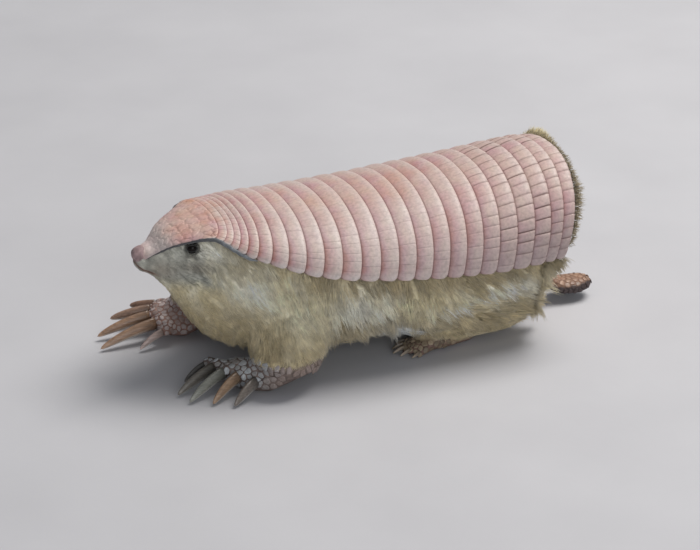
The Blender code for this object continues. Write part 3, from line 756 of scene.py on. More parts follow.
# Patches that differ from the cream coat: middle, reach in mm, colour and strength.
PATCHES = (
    ((46.0, -20.0, 13.0), (6.5, 8.0, 3.0), KHAKI_HAIR * 1.1, 0.6),
    ((56.0, -20.0, 14.0), (5.0, 8.0, 2.2), KHAKI_HAIR, 0.65),
    ((58.0, -17.0, 8.8), (4.4, 7.0, 4.2), BLUE_HAIR * 1.1, 0.97),
    ((64.6, -17.0, 9.0), (1.4, 6.0, 2.0), SOOTY_HAIR, 0.85),
    ((49.0, -20.0, 18.8), (7.0, 8.0, 3.6), PALE_HAIR * 1.08, 0.95),
    ((90.0, -21.0, 17.5), (5.0, 5.0, 2.4), PALE_HAIR, 0.8),
    ((25.0, -15.0, 24.5), (5.0, 6.0, 4.5), PALE_HAIR * 1.1, 0.9),
    ((17.8, 0.0, 32.6), (3.2, 20.0, 2.5), PALE_HAIR * 1.25, 0.97),
    ((9.0, 0.0, 30.6), (1.6, 20.0, 1.2), PALE_HAIR, 0.35),
    ((8.0, 0.0, 27.0), (3.4, 20.0, 2.6), SOOTY_HAIR * (1.15, 1.0, 0.95), 0.58),
    ((15.0, 0.0, 28.4), (3.0, 20.0, 1.4), SOOTY_HAIR * (1.2, 1.0, 0.9), 0.55),
    ((20.0, 0.0, 29.5), (1.4, 20.0, 2.6), SOOTY_HAIR * 1.3, 0.45),
    # A thin dark line under each eye: painted shade of a crease.
    ((14.0, 0.0, 30.9), (1.6, 20.0, 0.4), SOOTY_HAIR * 0.5, 0.75),
    ((34.0, -20.0, 20.0), (6.0, 8.0, 4.0), PALE_HAIR * (1.08, 1.04, 0.90), 0.8),
)
# A long pale wisp crosses the thigh: its two ends, how wide it is and its colour.
WISP = ((69.5, 14.2), (88.5, 18.4), 1.15, PALE_HAIR * 1.15)


def coat_colour(points):
    """The coat's colours: cream hair, painted khaki shade under the shell, grey-green on the face, and a few
    patches.
    """
    x, y, z = points.T
    streak = soft_noise(points, 5.0, 11)
    colour = towards(CREAM_HAIR, np.clip(streak, 0, 1) * 0.48, PALE_HAIR)
    colour = towards(colour, np.clip(-streak, 0, 1) * 0.46, KHAKI_HAIR)
    gap = under_shell(points)
    rear = 0.35 * ease(62, 80, x)
    shade = 0.8 * (ease(-4.5, -0.5, gap + 0.8 * soft_noise(points, 4.0, 12)) * ease(30, 42, x))
    # Darker khaki low on the chest, arms and belly: partly dirty hair, partly painted shade.
    drab_and_shade = np.maximum(ease(42, 26, x) * ease(26, 15, z) * 0.80, 0.58 * ease(17, 10, z))
    face = ease(23.0, 15.0, x + 1.5 * soft_noise(points, 4.0, 13)) * ease(22, 26, z)
    # Darker hair just under the armour's edge behind the head: partly dark hair, partly painted shade.
    neck = 0.5 * ease(32, 21, x) * ease(-6, -1, gap) * (1 - face)
    colour = towards(colour, rear, KHAKI_HAIR * 1.4)
    colour = towards(colour, shade, KHAKI_HAIR)
    colour = towards(colour, drab_and_shade, KHAKI_HAIR * 1.1)
    colour = towards(colour, neck, SOOTY_HAIR * 1.6)
    colour = towards(colour, face, FACE_HAIR)
    for middle, reach, target, strength in PATCHES:
        away = (points - np.array(middle)) / np.array(reach)
        colour = towards(colour, strength * np.exp(-((away**2).sum(axis=1))), target)
    low, high, width, target = WISP
    way = np.array(high) - low
    share = np.clip((points[:, [0, 2]] - low) @ way / (way @ way), 0, 1)
    away = np.linalg.norm(points[:, [0, 2]] - low - share[:, None] * way, axis=1)
    colour = towards(colour, 0.92 * np.exp(-((away / width) ** 2)) * (y < 0), target)
    clumps = 0.10 * ease(20, 30, x) * soft_noise(points, 7.0, 16)
    return colour * (1 + 0.20 * face * soft_noise(points, 2.6, 15) + clumps)[:, None]


def bare_colour(points):
    """Bare skin: pinkish on the nose, brown on the feet, greyer on the left hand and paler on the right as
    painted shade and light, and with painted shade on the tail's lower side.
    """
    x, y, z = points.T
    colour = np.tile(BROWN_SKIN, (len(points), 1))
    nose = (x < 12) & (z > 20)
    hand = (x < 50) & ~nose
    tail = x > 100
    colour[nose] = NOSE_SKIN
    # Greyer on the left hand as painted shade, for that hand lies in shade; paler on the right hand as
    # painted light, lifting it out of the body's shadow.
    colour[hand] = BROWN_SKIN * (0.9, 1.1, 1.2)
    colour[hand & (y > 0)] = BROWN_SKIN * (1.5, 1.4, 1.4)
    colour[tail] = TAIL_SKIN
    # Painted shade along the tail's lower side.
    colour = towards(colour, ease(5.0, 3.9, z) * tail, TAIL_EDGE_SHADE)
    return colour * (1 + 0.18 * soft_noise(points, 2.0, 14))[:, None]


def join_flesh():
    """One closed body from swollen copies of every solid of flesh."""
    copies = []
    for name in PARTS:
        copies.append(put_in_scene("flesh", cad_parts[name].data.copy()))
    deselect()
    for copy in copies:
        copy.select_set(True)
    bpy.context.view_layer.objects.active = copies[0]
    bpy.ops.object.join()
    skin = bpy.context.object
    skin.name = "skin"
    skin.data.name = "skin"
    bpy.ops.object.mode_set(mode="EDIT")
    bpy.ops.mesh.select_all(action="SELECT")
    bpy.ops.mesh.remove_doubles(threshold=WELD)
    bpy.ops.object.mode_set(mode="OBJECT")
    write_points(skin.data, read_points(skin.data) + SWELL * read_normals(skin.data))
    remesh = skin.modifiers.new("fuse", "REMESH")
    remesh.mode = "VOXEL"
    remesh.voxel_size = VOXEL * MM
    bpy.ops.object.modifier_apply(modifier="fuse")
    smooth = skin.modifiers.new("relax", "SMOOTH")
    smooth.factor = 0.5
    smooth.iterations = 5
    bpy.ops.object.modifier_apply(modifier="relax")
    return skin


def subdivide_where(thing, chosen):
    """Cuts each face whose corners are all chosen into four."""
    mesh = thing.data
    starts = np.empty(len(mesh.polygons), np.int32)
    corners = np.empty(len(mesh.loops), np.int32)
    mesh.polygons.foreach_get("loop_start", starts)
    mesh.loops.foreach_get("vertex_index", corners)
    faces = np.logical_and.reduceat(chosen[corners], starts)
    work_on(thing)
    bpy.ops.object.mode_set(mode="EDIT")
    bpy.ops.mesh.select_all(action="DESELECT")
    bpy.ops.mesh.select_mode(type="FACE")
    bpy.ops.object.mode_set(mode="OBJECT")
    mesh.polygons.foreach_set("select", faces)
    bpy.ops.object.mode_set(mode="EDIT")
    bpy.ops.mesh.subdivide(number_cuts=1, smoothness=0.0)
    bpy.ops.object.mode_set(mode="OBJECT")


def flesh_lookup():
    """A tree of the triangles of every solid of flesh, and the number of the solid that each belongs to."""
    corners = []
    faces = []
    owners = []
    for number, name in enumerate(PARTS):
        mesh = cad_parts[name].data
        mesh.calc_loop_triangles()
        start = len(corners)
        corners.extend(vertex.co[:] for vertex in mesh.vertices)
        for triangle in mesh.loop_triangles:
            faces.append([start + k for k in triangle.vertices])
            owners.append(number)
    return BVHTree.FromPolygons(corners, faces), np.array(owners)


def diffuse(mesh, values, rounds):
    """Values averaged with their neighbours so many times."""
    edges = np.empty(len(mesh.edges) * 2, np.int32)
    mesh.edges.foreach_get("vertices", edges)
    a, b = edges.reshape(-1, 2).T
    count = len(mesh.vertices)
    degree = np.bincount(a, minlength=count) + np.bincount(b, minlength=count)
    for _ in range(rounds):
        total = np.bincount(a, values[b], count) + np.bincount(b, values[a], count)
        values = 0.4 * values + 0.6 * total / np.maximum(degree, 1)
    return values


def coat_depth(points):
    """How deep the skin lies under the coat's tips, in mm."""
    x, _, z = points.T
    depth = np.interp(x, [6, 14, 22, 30, 110], [0.30, 0.45, 0.75, 1.3, 1.4])
    rear_corner = 1.6 * ease(91, 99, x) * ease(17, 11, z)
    return depth * (1 - 0.4 * ease(14, 6, z)) + rear_corner


def eye_axes(side):
    """An eye's own directions: out of the head, along its opening, and up."""
    outward = unit(np.array([-0.30, 0.88 * side, 0.26]))
    along = unit(np.cross(np.array([0, 0, 1.0]), outward))
    return outward, along, np.cross(outward, along)


def to_eye(points, side):
    """How far each point is from the middle of the left (-1) or the right (1) eye, in mm."""
    return np.linalg.norm(points - EYE * (1, side, 1), axis=1)


def set_eyes_in(points):
    """Shapes the skin round each eye: hollow behind the ball, with a low rim of lid round it."""
    for side in (-1, 1):
        outward, along, upward = eye_axes(side)
        offset = points - EYE * (1, side, 1)
        a = offset @ along
        b = offset @ upward
        c = offset @ outward
        ring = np.hypot(a / EYE_OPENING[0], b / EYE_OPENING[1])
        near = (ring < 2.6) & (c > -1.4) & (c < 2.6)
        ball = np.sqrt(np.maximum(EYE_RADIUS**2 - a**2 - b**2, 0.0))
        lid = ball + 0.16
        hollow = ease(1.02, 0.90, ring)
        rim = ease(2.4, 1.2, ring)
        level = c + rim * (np.maximum(lid, c) - c) * (1 - hollow)
        level = level + hollow * (ball - 0.5 - level)
        points[near] += ((level - c)[:, None] * outward)[near]
    return points


def shape_nose(points, normals):
    """Two nostrils, a fuller tip and a flatter bridge to the snout, and the groove of the mouth."""
    for side in (-1, 1):
        offset = points - np.array([2.9, 1.15 * side, 29.6])
        away = np.linalg.norm(offset / np.array([0.9, 0.55, 0.5]), axis=1)
        points = points - normals * (0.55 * np.exp(-(away**2)))[:, None]
    x, _, z = points.T
    fullness = 0.20 * ease(5.2, 3.8, x) - 0.22 * ease(4.2, 5.4, x) * ease(29, 31, z)
    fullness = fullness * ease(10.0, 8.0, x) * ease(22, 25, z)
    return points + normals * (fullness - 0.30 * mouth_line(points))[:, None]


def mouth_line(points):
    """1 along the mouth, which runs back and down on both sides from under the nose."""
    x, _, z = points.T
    height = np.interp(x, [2.2, 2.8, 4.2, 6.2, 9.0], [29.3, 28.3, 26.9, 25.9, 24.6])
    return np.exp(-(((z - height) / 0.42) ** 2)) * ease(1.8, 2.4, x) * ease(8.5, 6.0, x)


def on_nose(points):
    """1 on the bare top of the snout, which ends in a line rising from the nostrils to the brow plate."""
    x, _, z = points.T
    return ease(-0.2, 0.2, z - 29.1 - 0.60 * (x - 2.2)) * ease(9.5, 8.5, x)


def melt_shoulders(mesh, points):
    """Smooths the furred upper arms and knees into the flanks, so that no crease rings them."""
    x, y, z = points.T
    arm = ease(20, 25, x) * ease(50, 44, x) * ease(8.0, 11.0, z) * ease(8, 12, np.abs(y))
    knee = ease(50, 55, x) * ease(100, 94, x) * ease(6.5, 9.5, z) * ease(8, 12, np.abs(y))
    weight = (np.maximum(arm, 0.7 * knee) * ease(2.0, -1.0, under_shell(points)))[:, None]
    soft = np.column_stack([diffuse(mesh, points[:, axis], MELT_ROUNDS) for axis in range(3)])
    return points + weight * (soft - points)


def bare_wrists(points, label):
    """Counts the skin of a foreleg below the hem of its fur as part of the hand."""
    for hand in ("left", "right"):
        hem = 9.0 - 0.02 * (points[:, 0] - HANDS[hand][0][0] - 4.5)
        wrist = (label == PARTS.index(f"foreleg_{hand}")) & (points[:, 2] < hem)
        label = np.where(wrist, PARTS.index(f"forefoot_{hand}"), label)
    return label


def refine_skin(skin, owner_of):
    """Finer faces on the bare parts and the face, and finer again round the eyes and on the nose."""
    points = read_points(skin.data)
    x, _, z = points.T
    bare = np.isin(owner_of(points), BARE_NUMBERS)
    subdivide_where(skin, bare | ((x < 22) & (z > 24) & (under_shell(points) < 1.5)))
    x, _, z = read_points(skin.data).T
    round_eye = (np.abs(x - EYE[0]) < 2.8) & (np.abs(z - EYE[2]) < 2.8) & (x < 18)
    subdivide_where(skin, round_eye | ((x < 5.0) & (z > 20)))


def skin_colour(points, bare):
    """The skin's colours: the coat's under the fur, bare ones elsewhere, dark at mouth, armour and eyes,
    partly as painted shade at the mouth and under the armour.
    """
    x, _, z = points.T
    bald = np.where((x < 9.0) & (z > 20), on_nose(points), bare)
    colour = towards(coat_colour(points) * 0.9, bald, bare_colour(points))
    # The mouth's brown line is partly the lip's own colour and partly painted shade in its groove.
    colour = towards(colour, mouth_line(points) * 0.9, MOUTH_BROWN)
    # Dark skin just under the armour's edge from the nose back to the neck: partly dark skin, partly painted
    # shade.
    rim = ease(1.6, 0.4, -under_shell(points)) * ease(30, 24, x) * ease(6.0, 8.0, x) * (z > 24)
    colour = towards(colour, 0.75 * rim, RIM_GREY)
    for side in (-1, 1):
        colour = towards(colour, 0.85 * ease(2.0, 1.5, to_eye(points, side)), SOCKET_GREY)
    return np.clip(colour, 0.01, 1)


def make_skin(material):
    """One skin for the whole animal, sunk by the coat's depth wherever it is furred."""
    skin = join_flesh()
    tree, owners = flesh_lookup()

    def owner_of(points):
        world = (points + SHIFT) * MM
        return np.array([owners[tree.find_nearest(Vector(point))[2]] for point in world])

    refine_skin(skin, owner_of)
    mesh = skin.data
    points = melt_shoulders(mesh, read_points(mesh))
    label = bare_wrists(points, owner_of(points))
    bare = diffuse(mesh, np.isin(label, BARE_NUMBERS).astype(float), 6)
    depth = diffuse(mesh, coat_depth(points) * (1 - bare), 6)
    points = points - read_normals(mesh) * (SWELL + depth)[:, None]
    points = set_eyes_in(points)
    points[:, 2] = np.maximum(points[:, 2], SOLE_HEIGHT)
    write_points(mesh, points)
    points = shape_nose(points, read_normals(mesh))
    write_points(mesh, points)
    keep_values(mesh, "coat_colour", skin_colour(points, bare))
    mesh.shade_smooth()
    dress(skin, material, "fur", *FLESH, *BARE)
    return skin, points, read_normals(mesh), label, bare


# ---- coat ----------------------------------------------------------------------------------------
LOCK_STEPS = np.array([0.0, 0.34, 0.7, 1.0])
# Each hair has its own small patch of the map, so wide and high.
ROOT_PATCH = 0.003
# A hair's width at each of its rings, and its shade from root to tip: painted shade, darker at the root where
# the hairs shade each other and a little brighter at the tip.
HAIR_TAPER = np.array([0.8, 1.0, 0.68])
HAIR_SHADE = np.array([0.80, 0.98, 1.04, 1.06])
# How many hairs lie over each rump lobe and along the shell's rear rim, and where on the arch the rim's
# fringe ends and has its tuft.
LOBE_HAIRS = 900
RIM_HAIRS = 3400
RIM_END = 0.93
RIM_TUFT = 0.22
RIM_DARK = np.array([0.33, 0.265, 0.17])
RIM_PALE = np.array([0.66, 0.57, 0.34])
# Hair length along the body, in mm from the snout.
LENGTHS = ((3, 8, 14, 20, 27, 34, 60, 75, 97, 101), (0.6, 0.9, 1.4, 2.2, 4.2, 5.2, 5.2, 6.0, 5.2, 2.4))
# The map unrolls the body over this length, round an axis at this height, and the legs up to the last height.
MAP_LENGTH = 125.0
MAP_AXIS = 19.0
MAP_LEG = 30.0


def lie_of_coat(points, normals):
    """Which way the hair lies: back over face and belly, down the chest and legs, and back over the rear."""
    x, y, z = points.T
    side = np.sign(y)

    def way(back, out, up):
        return np.column_stack([np.full(len(x), back), out * side, np.full(len(x), up)])

    def blend(weight, direction):
        return lie + weight[:, None] * (direction - lie)

    lie = way(0.40, 0.04, -0.9)
    lie = blend(ease(30, 38, x) * ease(50, 44, x) * 0.6, way(0.15, 0, -1.0))
    lie = blend(ease(30, 20, x), way(0.75, 0.1, -0.65))
    lie = blend(ease(20, 14, x) * ease(20, 24, z), way(0.95, 0.12, -0.30))
    lie = blend(ease(66, 76, x), way(0.72, 0, -0.68))
    lie = blend(ease(64, 78, x) * np.exp(-(((z - 12.5) / 3.2) ** 2)), way(1.0, 0, -0.12))
    lie = blend(ease(95, 101, x) * ease(0.3, 0.8, normals[:, 0]) * 0.85, way(0.02, 0, -1.0))
    lie = blend(ease(15, 10, z) * ease(34, 28, x) * ease(8, 11, np.abs(y)) * 0.8, way(-0.30, 0, -1.0))
    return blend(ease(-0.35, -0.8, normals[:, 2]), way(1.0, 0, -0.1))


def hair_length(points, hem):
    """Long on the flanks and chest, short on the face, and shortest where the coat ends over a foot."""
    x, y, z = points.T
    length = np.interp(x, *LENGTHS)
    knee = np.exp(-(((x - 58.0) / 3.8) ** 2)) * ease(15, 11, z)
    hem = hem + 3.8 * np.exp(-(((x - 35.0) / 5.0) ** 2)) * ease(-11, -14, y) * (hem < 5)
    above_hem = (1.08 + 0.6 * knee) * (z - hem)
    return np.clip(np.minimum(length + 2.0 * knee, above_hem), 0.6, 7.5)


def lock_paths(roots, normals, lie, length, stand, seed):
    """The middle line of each lock, which rises from the skin, leans over and waves along the coat's lie."""
    own = np.random.default_rng(seed)
    count = len(roots)
    side = unit(np.cross(normals, lie))
    phase = own.uniform(0, 2 * math.pi, count)[:, None]
    wave = own.uniform(0.05, 0.28, count)[:, None]
    at = roots - np.minimum(0.25, 0.06 * length)[:, None] * normals
    path = [at]
    for before, after in zip(LOCK_STEPS, LOCK_STEPS[1:]):
        middle = (before + after) / 2
        lean = stand[:, None] * (1 - middle) ** 1.3 - 0.10 * middle
        sway = wave * np.sin(phase + middle * 5.0)
        direction = unit(lie + normals * lean + side * sway + np.array([0, 0, -0.25]) * middle)
        at = at + direction * length[:, None] * (after - before)
        path.append(at)
    return np.stack(path, axis=1)


def hair_faces(body):
    """One hair's corners, their places on its patch of the map, and how many corners each face has."""
    top = 3 * (body - 1)
    corners = []
    patch = []
    for k in range(3):
        n = (k + 1) % 3
        for r in range(body - 1):
            low = r / body
            high = (r + 1) / body
            corners += [3 * r + k, 3 * r + n, 3 * r + 3 + n, 3 * r + 3 + k]
            patch += [(k / 3, low), ((k + 1) / 3, low), ((k + 1) / 3, high), (k / 3, high)]
    for k in range(3):
        corners += [top + k, top + (k + 1) % 3, 3 * body]
        patch += [(k / 3, 0.75), ((k + 1) / 3, 0.75), (k / 3 + 1 / 6, 1.0)]
    corners += [2, 1, 0]
    patch += [(0.4, 0.0), (0.2, 0.0), (0.3, 0.05)]
    return np.array(corners), np.array(patch), np.array([4] * top + [3] * 4)


def hair_points(paths, width):
    """The corners of three-sided hairs: a ring of three round each point of a path but the last, its tip."""
    count, rings = paths.shape[:2]
    body = rings - 1
    tangent = unit(np.gradient(paths, axis=1))
    facing = unit(rng.normal(size=(count, 1, 3)) * 0.6 + unit(paths[:, :1] - np.array([60, 0, 18])))
    side = unit(np.cross(tangent, facing))
    upward = np.cross(side, tangent)
    half = (0.5 * width[:, None] * HAIR_TAPER)[..., None]
    middle = paths[:, :body]
    ring = np.stack(
        [
            middle - side[:, :body] * half,
            middle + side[:, :body] * half,
            middle + upward[:, :body] * half * 0.9,
        ],
        axis=2,
    )
    points = np.concatenate([ring.reshape(count, body * 3, 3), paths[:, -1:]], axis=1)
    points[..., 2] = np.maximum(points[..., 2], HAIR_FLOOR)
    return points


def strand_mesh(name, paths, width, colours, unwrap, material, slot):
    """Thin three-sided hairs along the paths, each with a small patch of the map at its root's place."""
    points = hair_points(paths, width)
    count, per = points.shape[:2]
    body = paths.shape[1] - 1
    corners, patch, totals = hair_faces(body)
    all_corners = (corners[None] + per * np.arange(count)[:, None]).ravel()
    all_totals = np.tile(totals, count)

    mesh = bpy.data.meshes.new(name)
    mesh.vertices.add(count * per)
    mesh.loops.add(len(all_corners))
    mesh.polygons.add(len(all_totals))
    mesh.vertices.foreach_set("co", ((points.reshape(-1, 3) + SHIFT) * MM).astype(np.float32).ravel())
    mesh.loops.foreach_set("vertex_index", all_corners.astype(np.int32))
    mesh.polygons.foreach_set("loop_start", (np.cumsum(all_totals) - all_totals).astype(np.int32))
    mesh.polygons.foreach_set("loop_total", all_totals.astype(np.int32))
    mesh.update(calc_edges=True)
    shade = np.repeat(HAIR_SHADE, [3] * body + [1])
    shaded = colours[:, None] * shade[None, :, None]
    keep_values(mesh, "coat_colour", np.clip(shaded.reshape(-1, 3), 0.005, 0.95))
    spread = unwrap[:, None] + (patch[None] - 0.5) * ROOT_PATCH
    layer = mesh.uv_layers.new(name="OFBake")
    layer.data.foreach_set("uv", spread.reshape(-1, 2).astype(np.float32).ravel())
    mesh.shade_smooth()
    thing = put_in_scene(name, mesh)
    dress(thing, material, slot)
    return thing


def unwrap_body(points):
    """The skin unrolled round the body's long axis: along it, and round it."""
    along = points[:, 0] / MAP_LENGTH
    turn = np.arctan2(points[:, 1], points[:, 2] - MAP_AXIS) / (2 * math.pi) + 0.5
    return np.column_stack([0.02 + 0.96 * along, 0.02 + 0.96 * turn])


def unwrap_leg(points):
    """A leg's skin unrolled round the upright line through its middle."""
    middle = points.mean(axis=0)
    turn = np.arctan2(points[:, 1] - middle[1], points[:, 0] - middle[0]) / (2 * math.pi) + 0.5
    return np.column_stack([0.02 + 0.96 * turn, 0.05 + 0.9 * np.clip(points[:, 2] / MAP_LEG, 0, 1)])


# Each region of the coat: its locks and the hairs in a lock, then how far a lock spreads at its root, the
# width of a hair and the height of the hem, in mm.
REGIONS = {
    "face": (2900, 3, 0.28, 0.085, 0.0),
    "breast_left": (840, 13, 1.05, 0.125, 3.0),
    "breast_right": (700, 13, 1.05, 0.135, 3.0),
    "arm_left": (700, 13, 1.0, 0.125, 8.0),
    "arm_right": (520, 13, 1.0, 0.135, 8.0),
    "flank_left": (900, 13, 1.1, 0.13, 2.5),
    "flank_right": (820, 13, 1.1, 0.14, 2.5),
    "thigh_left": (860, 13, 1.1, 0.13, 3.4),
    "thigh_right": (680, 13, 1.1, 0.14, 3.4),
    "rump": (120, 13, 1.1, 0.14, 6.0),
}


def region_of(points, label):
    """Names the coat's region at each point, or none where the skin is bare or hidden by the shell."""
    x, y, z = points.T
    number = {name: k for k, name in enumerate(PARTS)}
    side = np.where(y < 0, "left", "right")
    found = np.char.add("flank_", side).astype(object)
    front = (x < 42) & ~np.isin(label, [number["foreleg_left"], number["foreleg_right"]])
    found[front] = np.char.add("breast_", side)[front]
    found[(x < 21) & (z > 21)] = "face"
    for leg, region in (("foreleg", "arm"), ("hindleg", "thigh")):
        for hand in ("left", "right"):
            found[label == number[f"{leg}_{hand}"]] = f"{region}_{hand}"
    thigh = (x > 70) & (x < 99) & (z < 17)
    found[thigh] = np.char.add("thigh_", side)[thigh]
    found[x > 99] = "rump"
    hidden = under_shell(points) > 0.7
    plate_edge = 12.6 + (np.abs(y) - RUMP["notch"]) * 0.35
    hidden |= (x > 99.5) & (z > plate_edge) & (np.hypot(y, z - 13.8) > RUMP["notch"] + 0.4)
    hidden |= (x < 9.0) & (z > 20) & ((on_nose(points) > 0.3) | (mouth_line(points) > 0.45))
    bare = np.isin(label, [number[name] for name in BARE[1:]])
    found[hidden | bare] = ""
    return found


def stand_of_locks(roots, own):
    """How far each lock stands off the skin: hardly on the snout, and unevenly over the body."""
    calm = ease(22, 30, roots[:, 0])
    uneven = 0.28 + 0.16 * soft_noise(roots, 7.0, 34) + own.uniform(-0.06, 0.10, len(roots))
    stand = np.interp(roots[:, 0], [4, 9, 14], [0.10, 0.26, 0.42]) - 0.20 * calm + calm * uneven
    return np.clip(stand, 0.12, 1.2)


def hairs_of_locks(paths, out, lie, length, hairs, spread, own):
    """Every lock's hairs: spread round its root, gathered and frayed towards its tip, of uneven lengths."""
    locks = len(paths)
    across = unit(np.cross(out, lie))
    turn = own.uniform(0, 2 * math.pi, (locks, hairs))
    reach = spread * np.sqrt(own.uniform(0, 1, (locks, hairs)))
    offset = (reach * np.cos(turn))[..., None] * across[:, None]
    offset = offset + (reach * np.sin(turn))[..., None] * lie[:, None]
    gather = (1 - 0.6 * LOCK_STEPS**1.2)[None, None, :, None]
    fray = own.normal(size=(locks, hairs, 1, 3)) * 0.09 * (LOCK_STEPS**1.5)[None, None, :, None]
    long = own.uniform(0.72, 1.1, (locks, hairs, 1, 1))
    strands = paths[:, None, :1] + (paths[:, None] - paths[:, None, :1]) * long
    return strands + offset[:, :, None] * gather + fray * np.minimum(length, 4)[:, None, None, None] * 0.5


def grow_coat(skin, points, normals, label, material):
    """Hair over every furred region, in locks whose roots are scattered over the skin."""
    mesh = skin.data
    mesh.calc_loop_triangles()
    triangles = np.empty(len(mesh.loop_triangles) * 3, np.int32)
    mesh.loop_triangles.foreach_get("vertices", triangles)
    triangles = triangles.reshape(-1, 3)
    corners = points[triangles]
    first, second, third = corners.transpose(1, 0, 2)
    area = np.linalg.norm(np.cross(second - first, third - first), axis=1) / 2
    region = region_of(corners.mean(axis=1), label[triangles[:, 0]])
    thin = 1.0
    for seed, (name, (locks, hairs, spread, width, hem)) in enumerate(REGIONS.items()):
        own = np.random.default_rng(100 + seed)
        weight = np.where(region == name, area, 0)
        locks = int(locks * thin)
        chosen = own.choice(len(triangles), locks, p=weight / weight.sum())
        mixing = own.dirichlet((1, 1, 1), locks)[..., None]
        roots = (corners[chosen] * mixing).sum(axis=1)
        out = unit((normals[triangles[chosen]] * mixing).sum(axis=1))
        above = roots[:, 2] > hem + 0.7
        roots = roots[above]
        out = out[above]
        locks = len(roots)
        lie = lie_of_coat(roots, out) + 0.20 * wander(roots, 9.0, 31) + 0.07 * own.normal(size=(locks, 3))
        lie = unit(lie - (lie * out).sum(axis=1, keepdims=True) * out)
        length = hair_length(roots, hem) * own.uniform(0.8, 1.2, locks)
        paths = lock_paths(roots, out, lie, length, stand_of_locks(roots, own), 200 + seed)
        strands = hairs_of_locks(paths, out, lie, length, hairs, spread, own)
        tint = own.uniform(0.86, 1.12, (locks, 1, 1)) * own.uniform(0.93, 1.07, (locks, hairs, 1))
        colours = coat_colour(roots)[:, None] * tint
        colours = colours * (1 - 0.6 * eye_ring(roots))[:, None, None]
        widths = width * own.uniform(0.7, 1.25, (locks, hairs)) / math.sqrt(thin)
        unroll = unwrap_leg if name.startswith(("arm", "thigh")) else unwrap_body
        strand_mesh(
            f"coat_{name}",
            strands.reshape(locks * hairs, len(LOCK_STEPS), 3),
            widths.ravel(),
            colours.reshape(locks * hairs, 3),
            unroll(strands[:, :, 0].reshape(-1, 3)),
            material,
            "fur",
        )


def eye_ring(points):
    """1 next to either eye, where the face is darker."""
    return ease(2.3, 1.5, np.minimum(to_eye(points, 1), to_eye(points, -1)))


def lobe_fringe(material):
    """Flank hair that falls back over the lower lobes of the rump plate."""
    own = np.random.default_rng(81)
    count = LOBE_HAIRS
    for hand, side in SIDES.items():
        down = own.uniform(0, 1, count)
        root = np.column_stack(
            [
                own.uniform(-3.4, 0.9, count) + 100.2 - 3.0 * down,
                side * (RUMP["half_width"] + 0.9 - 3.6 * down**2 - own.uniform(0, 1.0, count)),
                22.6 - 7.0 * down,
            ]
        )
        outward = unit(np.column_stack([np.full(count, 0.25), np.full(count, side), -0.6 * down]))
        lie = np.array([0.72, 0, -0.72]) + 0.16 * own.normal(size=(count, 3)) + outward * 0.05
        length = own.uniform(2.0, 3.6, count) * (1 - 0.45 * down)
        paths = lock_paths(root, outward, unit(lie), length, np.full(count, 0.28), 82)
        colours = coat_colour(root) * own.uniform(0.8, 1.1, (count, 1))
        width = 0.14 * own.uniform(0.6, 1.2, count)
        strand_mesh(f"lobe_fringe_{hand}", paths, width, colours, unwrap_body(paths[:, 0]), material, "fur")


def rim_fringe(material):
    """The fringe of coarse hair between the last hoop and the rump plate, thickest in a tuft by the crest."""
    own = np.random.default_rng(77)
    count = RIM_HAIRS
    t = own.uniform(-RIM_END, RIM_END, count)
    crest = own.uniform(0, 1, count) < 0.34
    t[crest] = own.normal(RIM_TUFT, 0.12, crest.sum())
    t = np.clip(t, -RIM_END, RIM_END)
    tuft = np.exp(-(((t - RIM_TUFT) / 0.17) ** 2))
    bushy = np.exp(-(((np.abs(t) - 0.55) / 0.2) ** 2))
    base = arch_point(float(BAND_COUNT), t, own.uniform(-1.1, 0.1, count) + 0.2 * tuft)
    base[:, 0] += own.uniform(0.1, 0.9, count)
    outward = base - np.array([0, 0, 22.0])
    outward[:, 0] = 0
    outward = unit(outward)
    lie = np.array([0.75, 0, 0.0]) + outward * (0.10 + 1.15 * tuft)[:, None]
    lie = lie + 0.24 * own.normal(size=(count, 3))
    length = (1.2 + 1.3 * tuft + 1.3 * bushy) * own.uniform(0.5, 1.2, count)
    paths = lock_paths(base, outward, unit(lie), length, np.full(count, 0.15), 78)
    colours = towards(RIM_DARK, np.clip(tuft + own.uniform(-0.1, 0.3, count), 0, 1), RIM_PALE)
    unwrap = np.column_stack([0.5 + 0.02 * own.uniform(-1, 1, count), 0.5 + 0.46 * t])
    width = 0.13 * own.uniform(0.6, 1.2, count)
    thing = strand_mesh("rim_fringe", paths, width, colours, unwrap, material, "fur")
    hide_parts("rim_fringe")


# ---- feet, claws and eyes ------------------------------------------------------------------------
# Scutes are picked with the help of a grid of cells this wide, in mm.
PICKING_CELL = 1.5


def spread_out(points, gap, order):
    """Picks points that are at least gap apart, in the given order. The gap is at most a cell of the grid."""
    taken = []
    grid = {}
    steps = [(dx, dy, dz) for dx in (-1, 0, 1) for dy in (-1, 0, 1) for dz in (-1, 0, 1)]
    for k in order:
        cell = tuple((points[k] // PICKING_CELL).astype(int))
        cells = [(cell[0] + dx, cell[1] + dy, cell[2] + dz) for dx, dy, dz in steps]
        near = [other for place in cells for other in grid.get(place, ())]
        if all(np.sum((points[k] - points[other]) ** 2) >= gap**2 for other in near):
            taken.append(k)
            grid.setdefault(cell, []).append(k)
    return np.array(taken)


def scute_outline(neighbours, size):
    """The part of a small square round a scute's middle that is nearer to it than to any neighbour."""
    corners = [(-size, -size), (size, -size), (size, size), (-size, size)]
    for other in neighbours:
        middle = other / 2
        kept = []
        for (ax, ay), (bx, by) in zip(corners, corners[1:] + corners[:1]):
            a = (ax - middle[0]) * other[0] + (ay - middle[1]) * other[1]
            b = (bx - middle[0]) * other[0] + (by - middle[1]) * other[1]
            if a <= 0:
                kept.append((ax, ay))
            if (a <= 0) != (b <= 0):
                f = a / (a - b)
                kept.append((ax + (bx - ax) * f, ay + (by - ay) * f))
        corners = kept
    return np.array(corners)


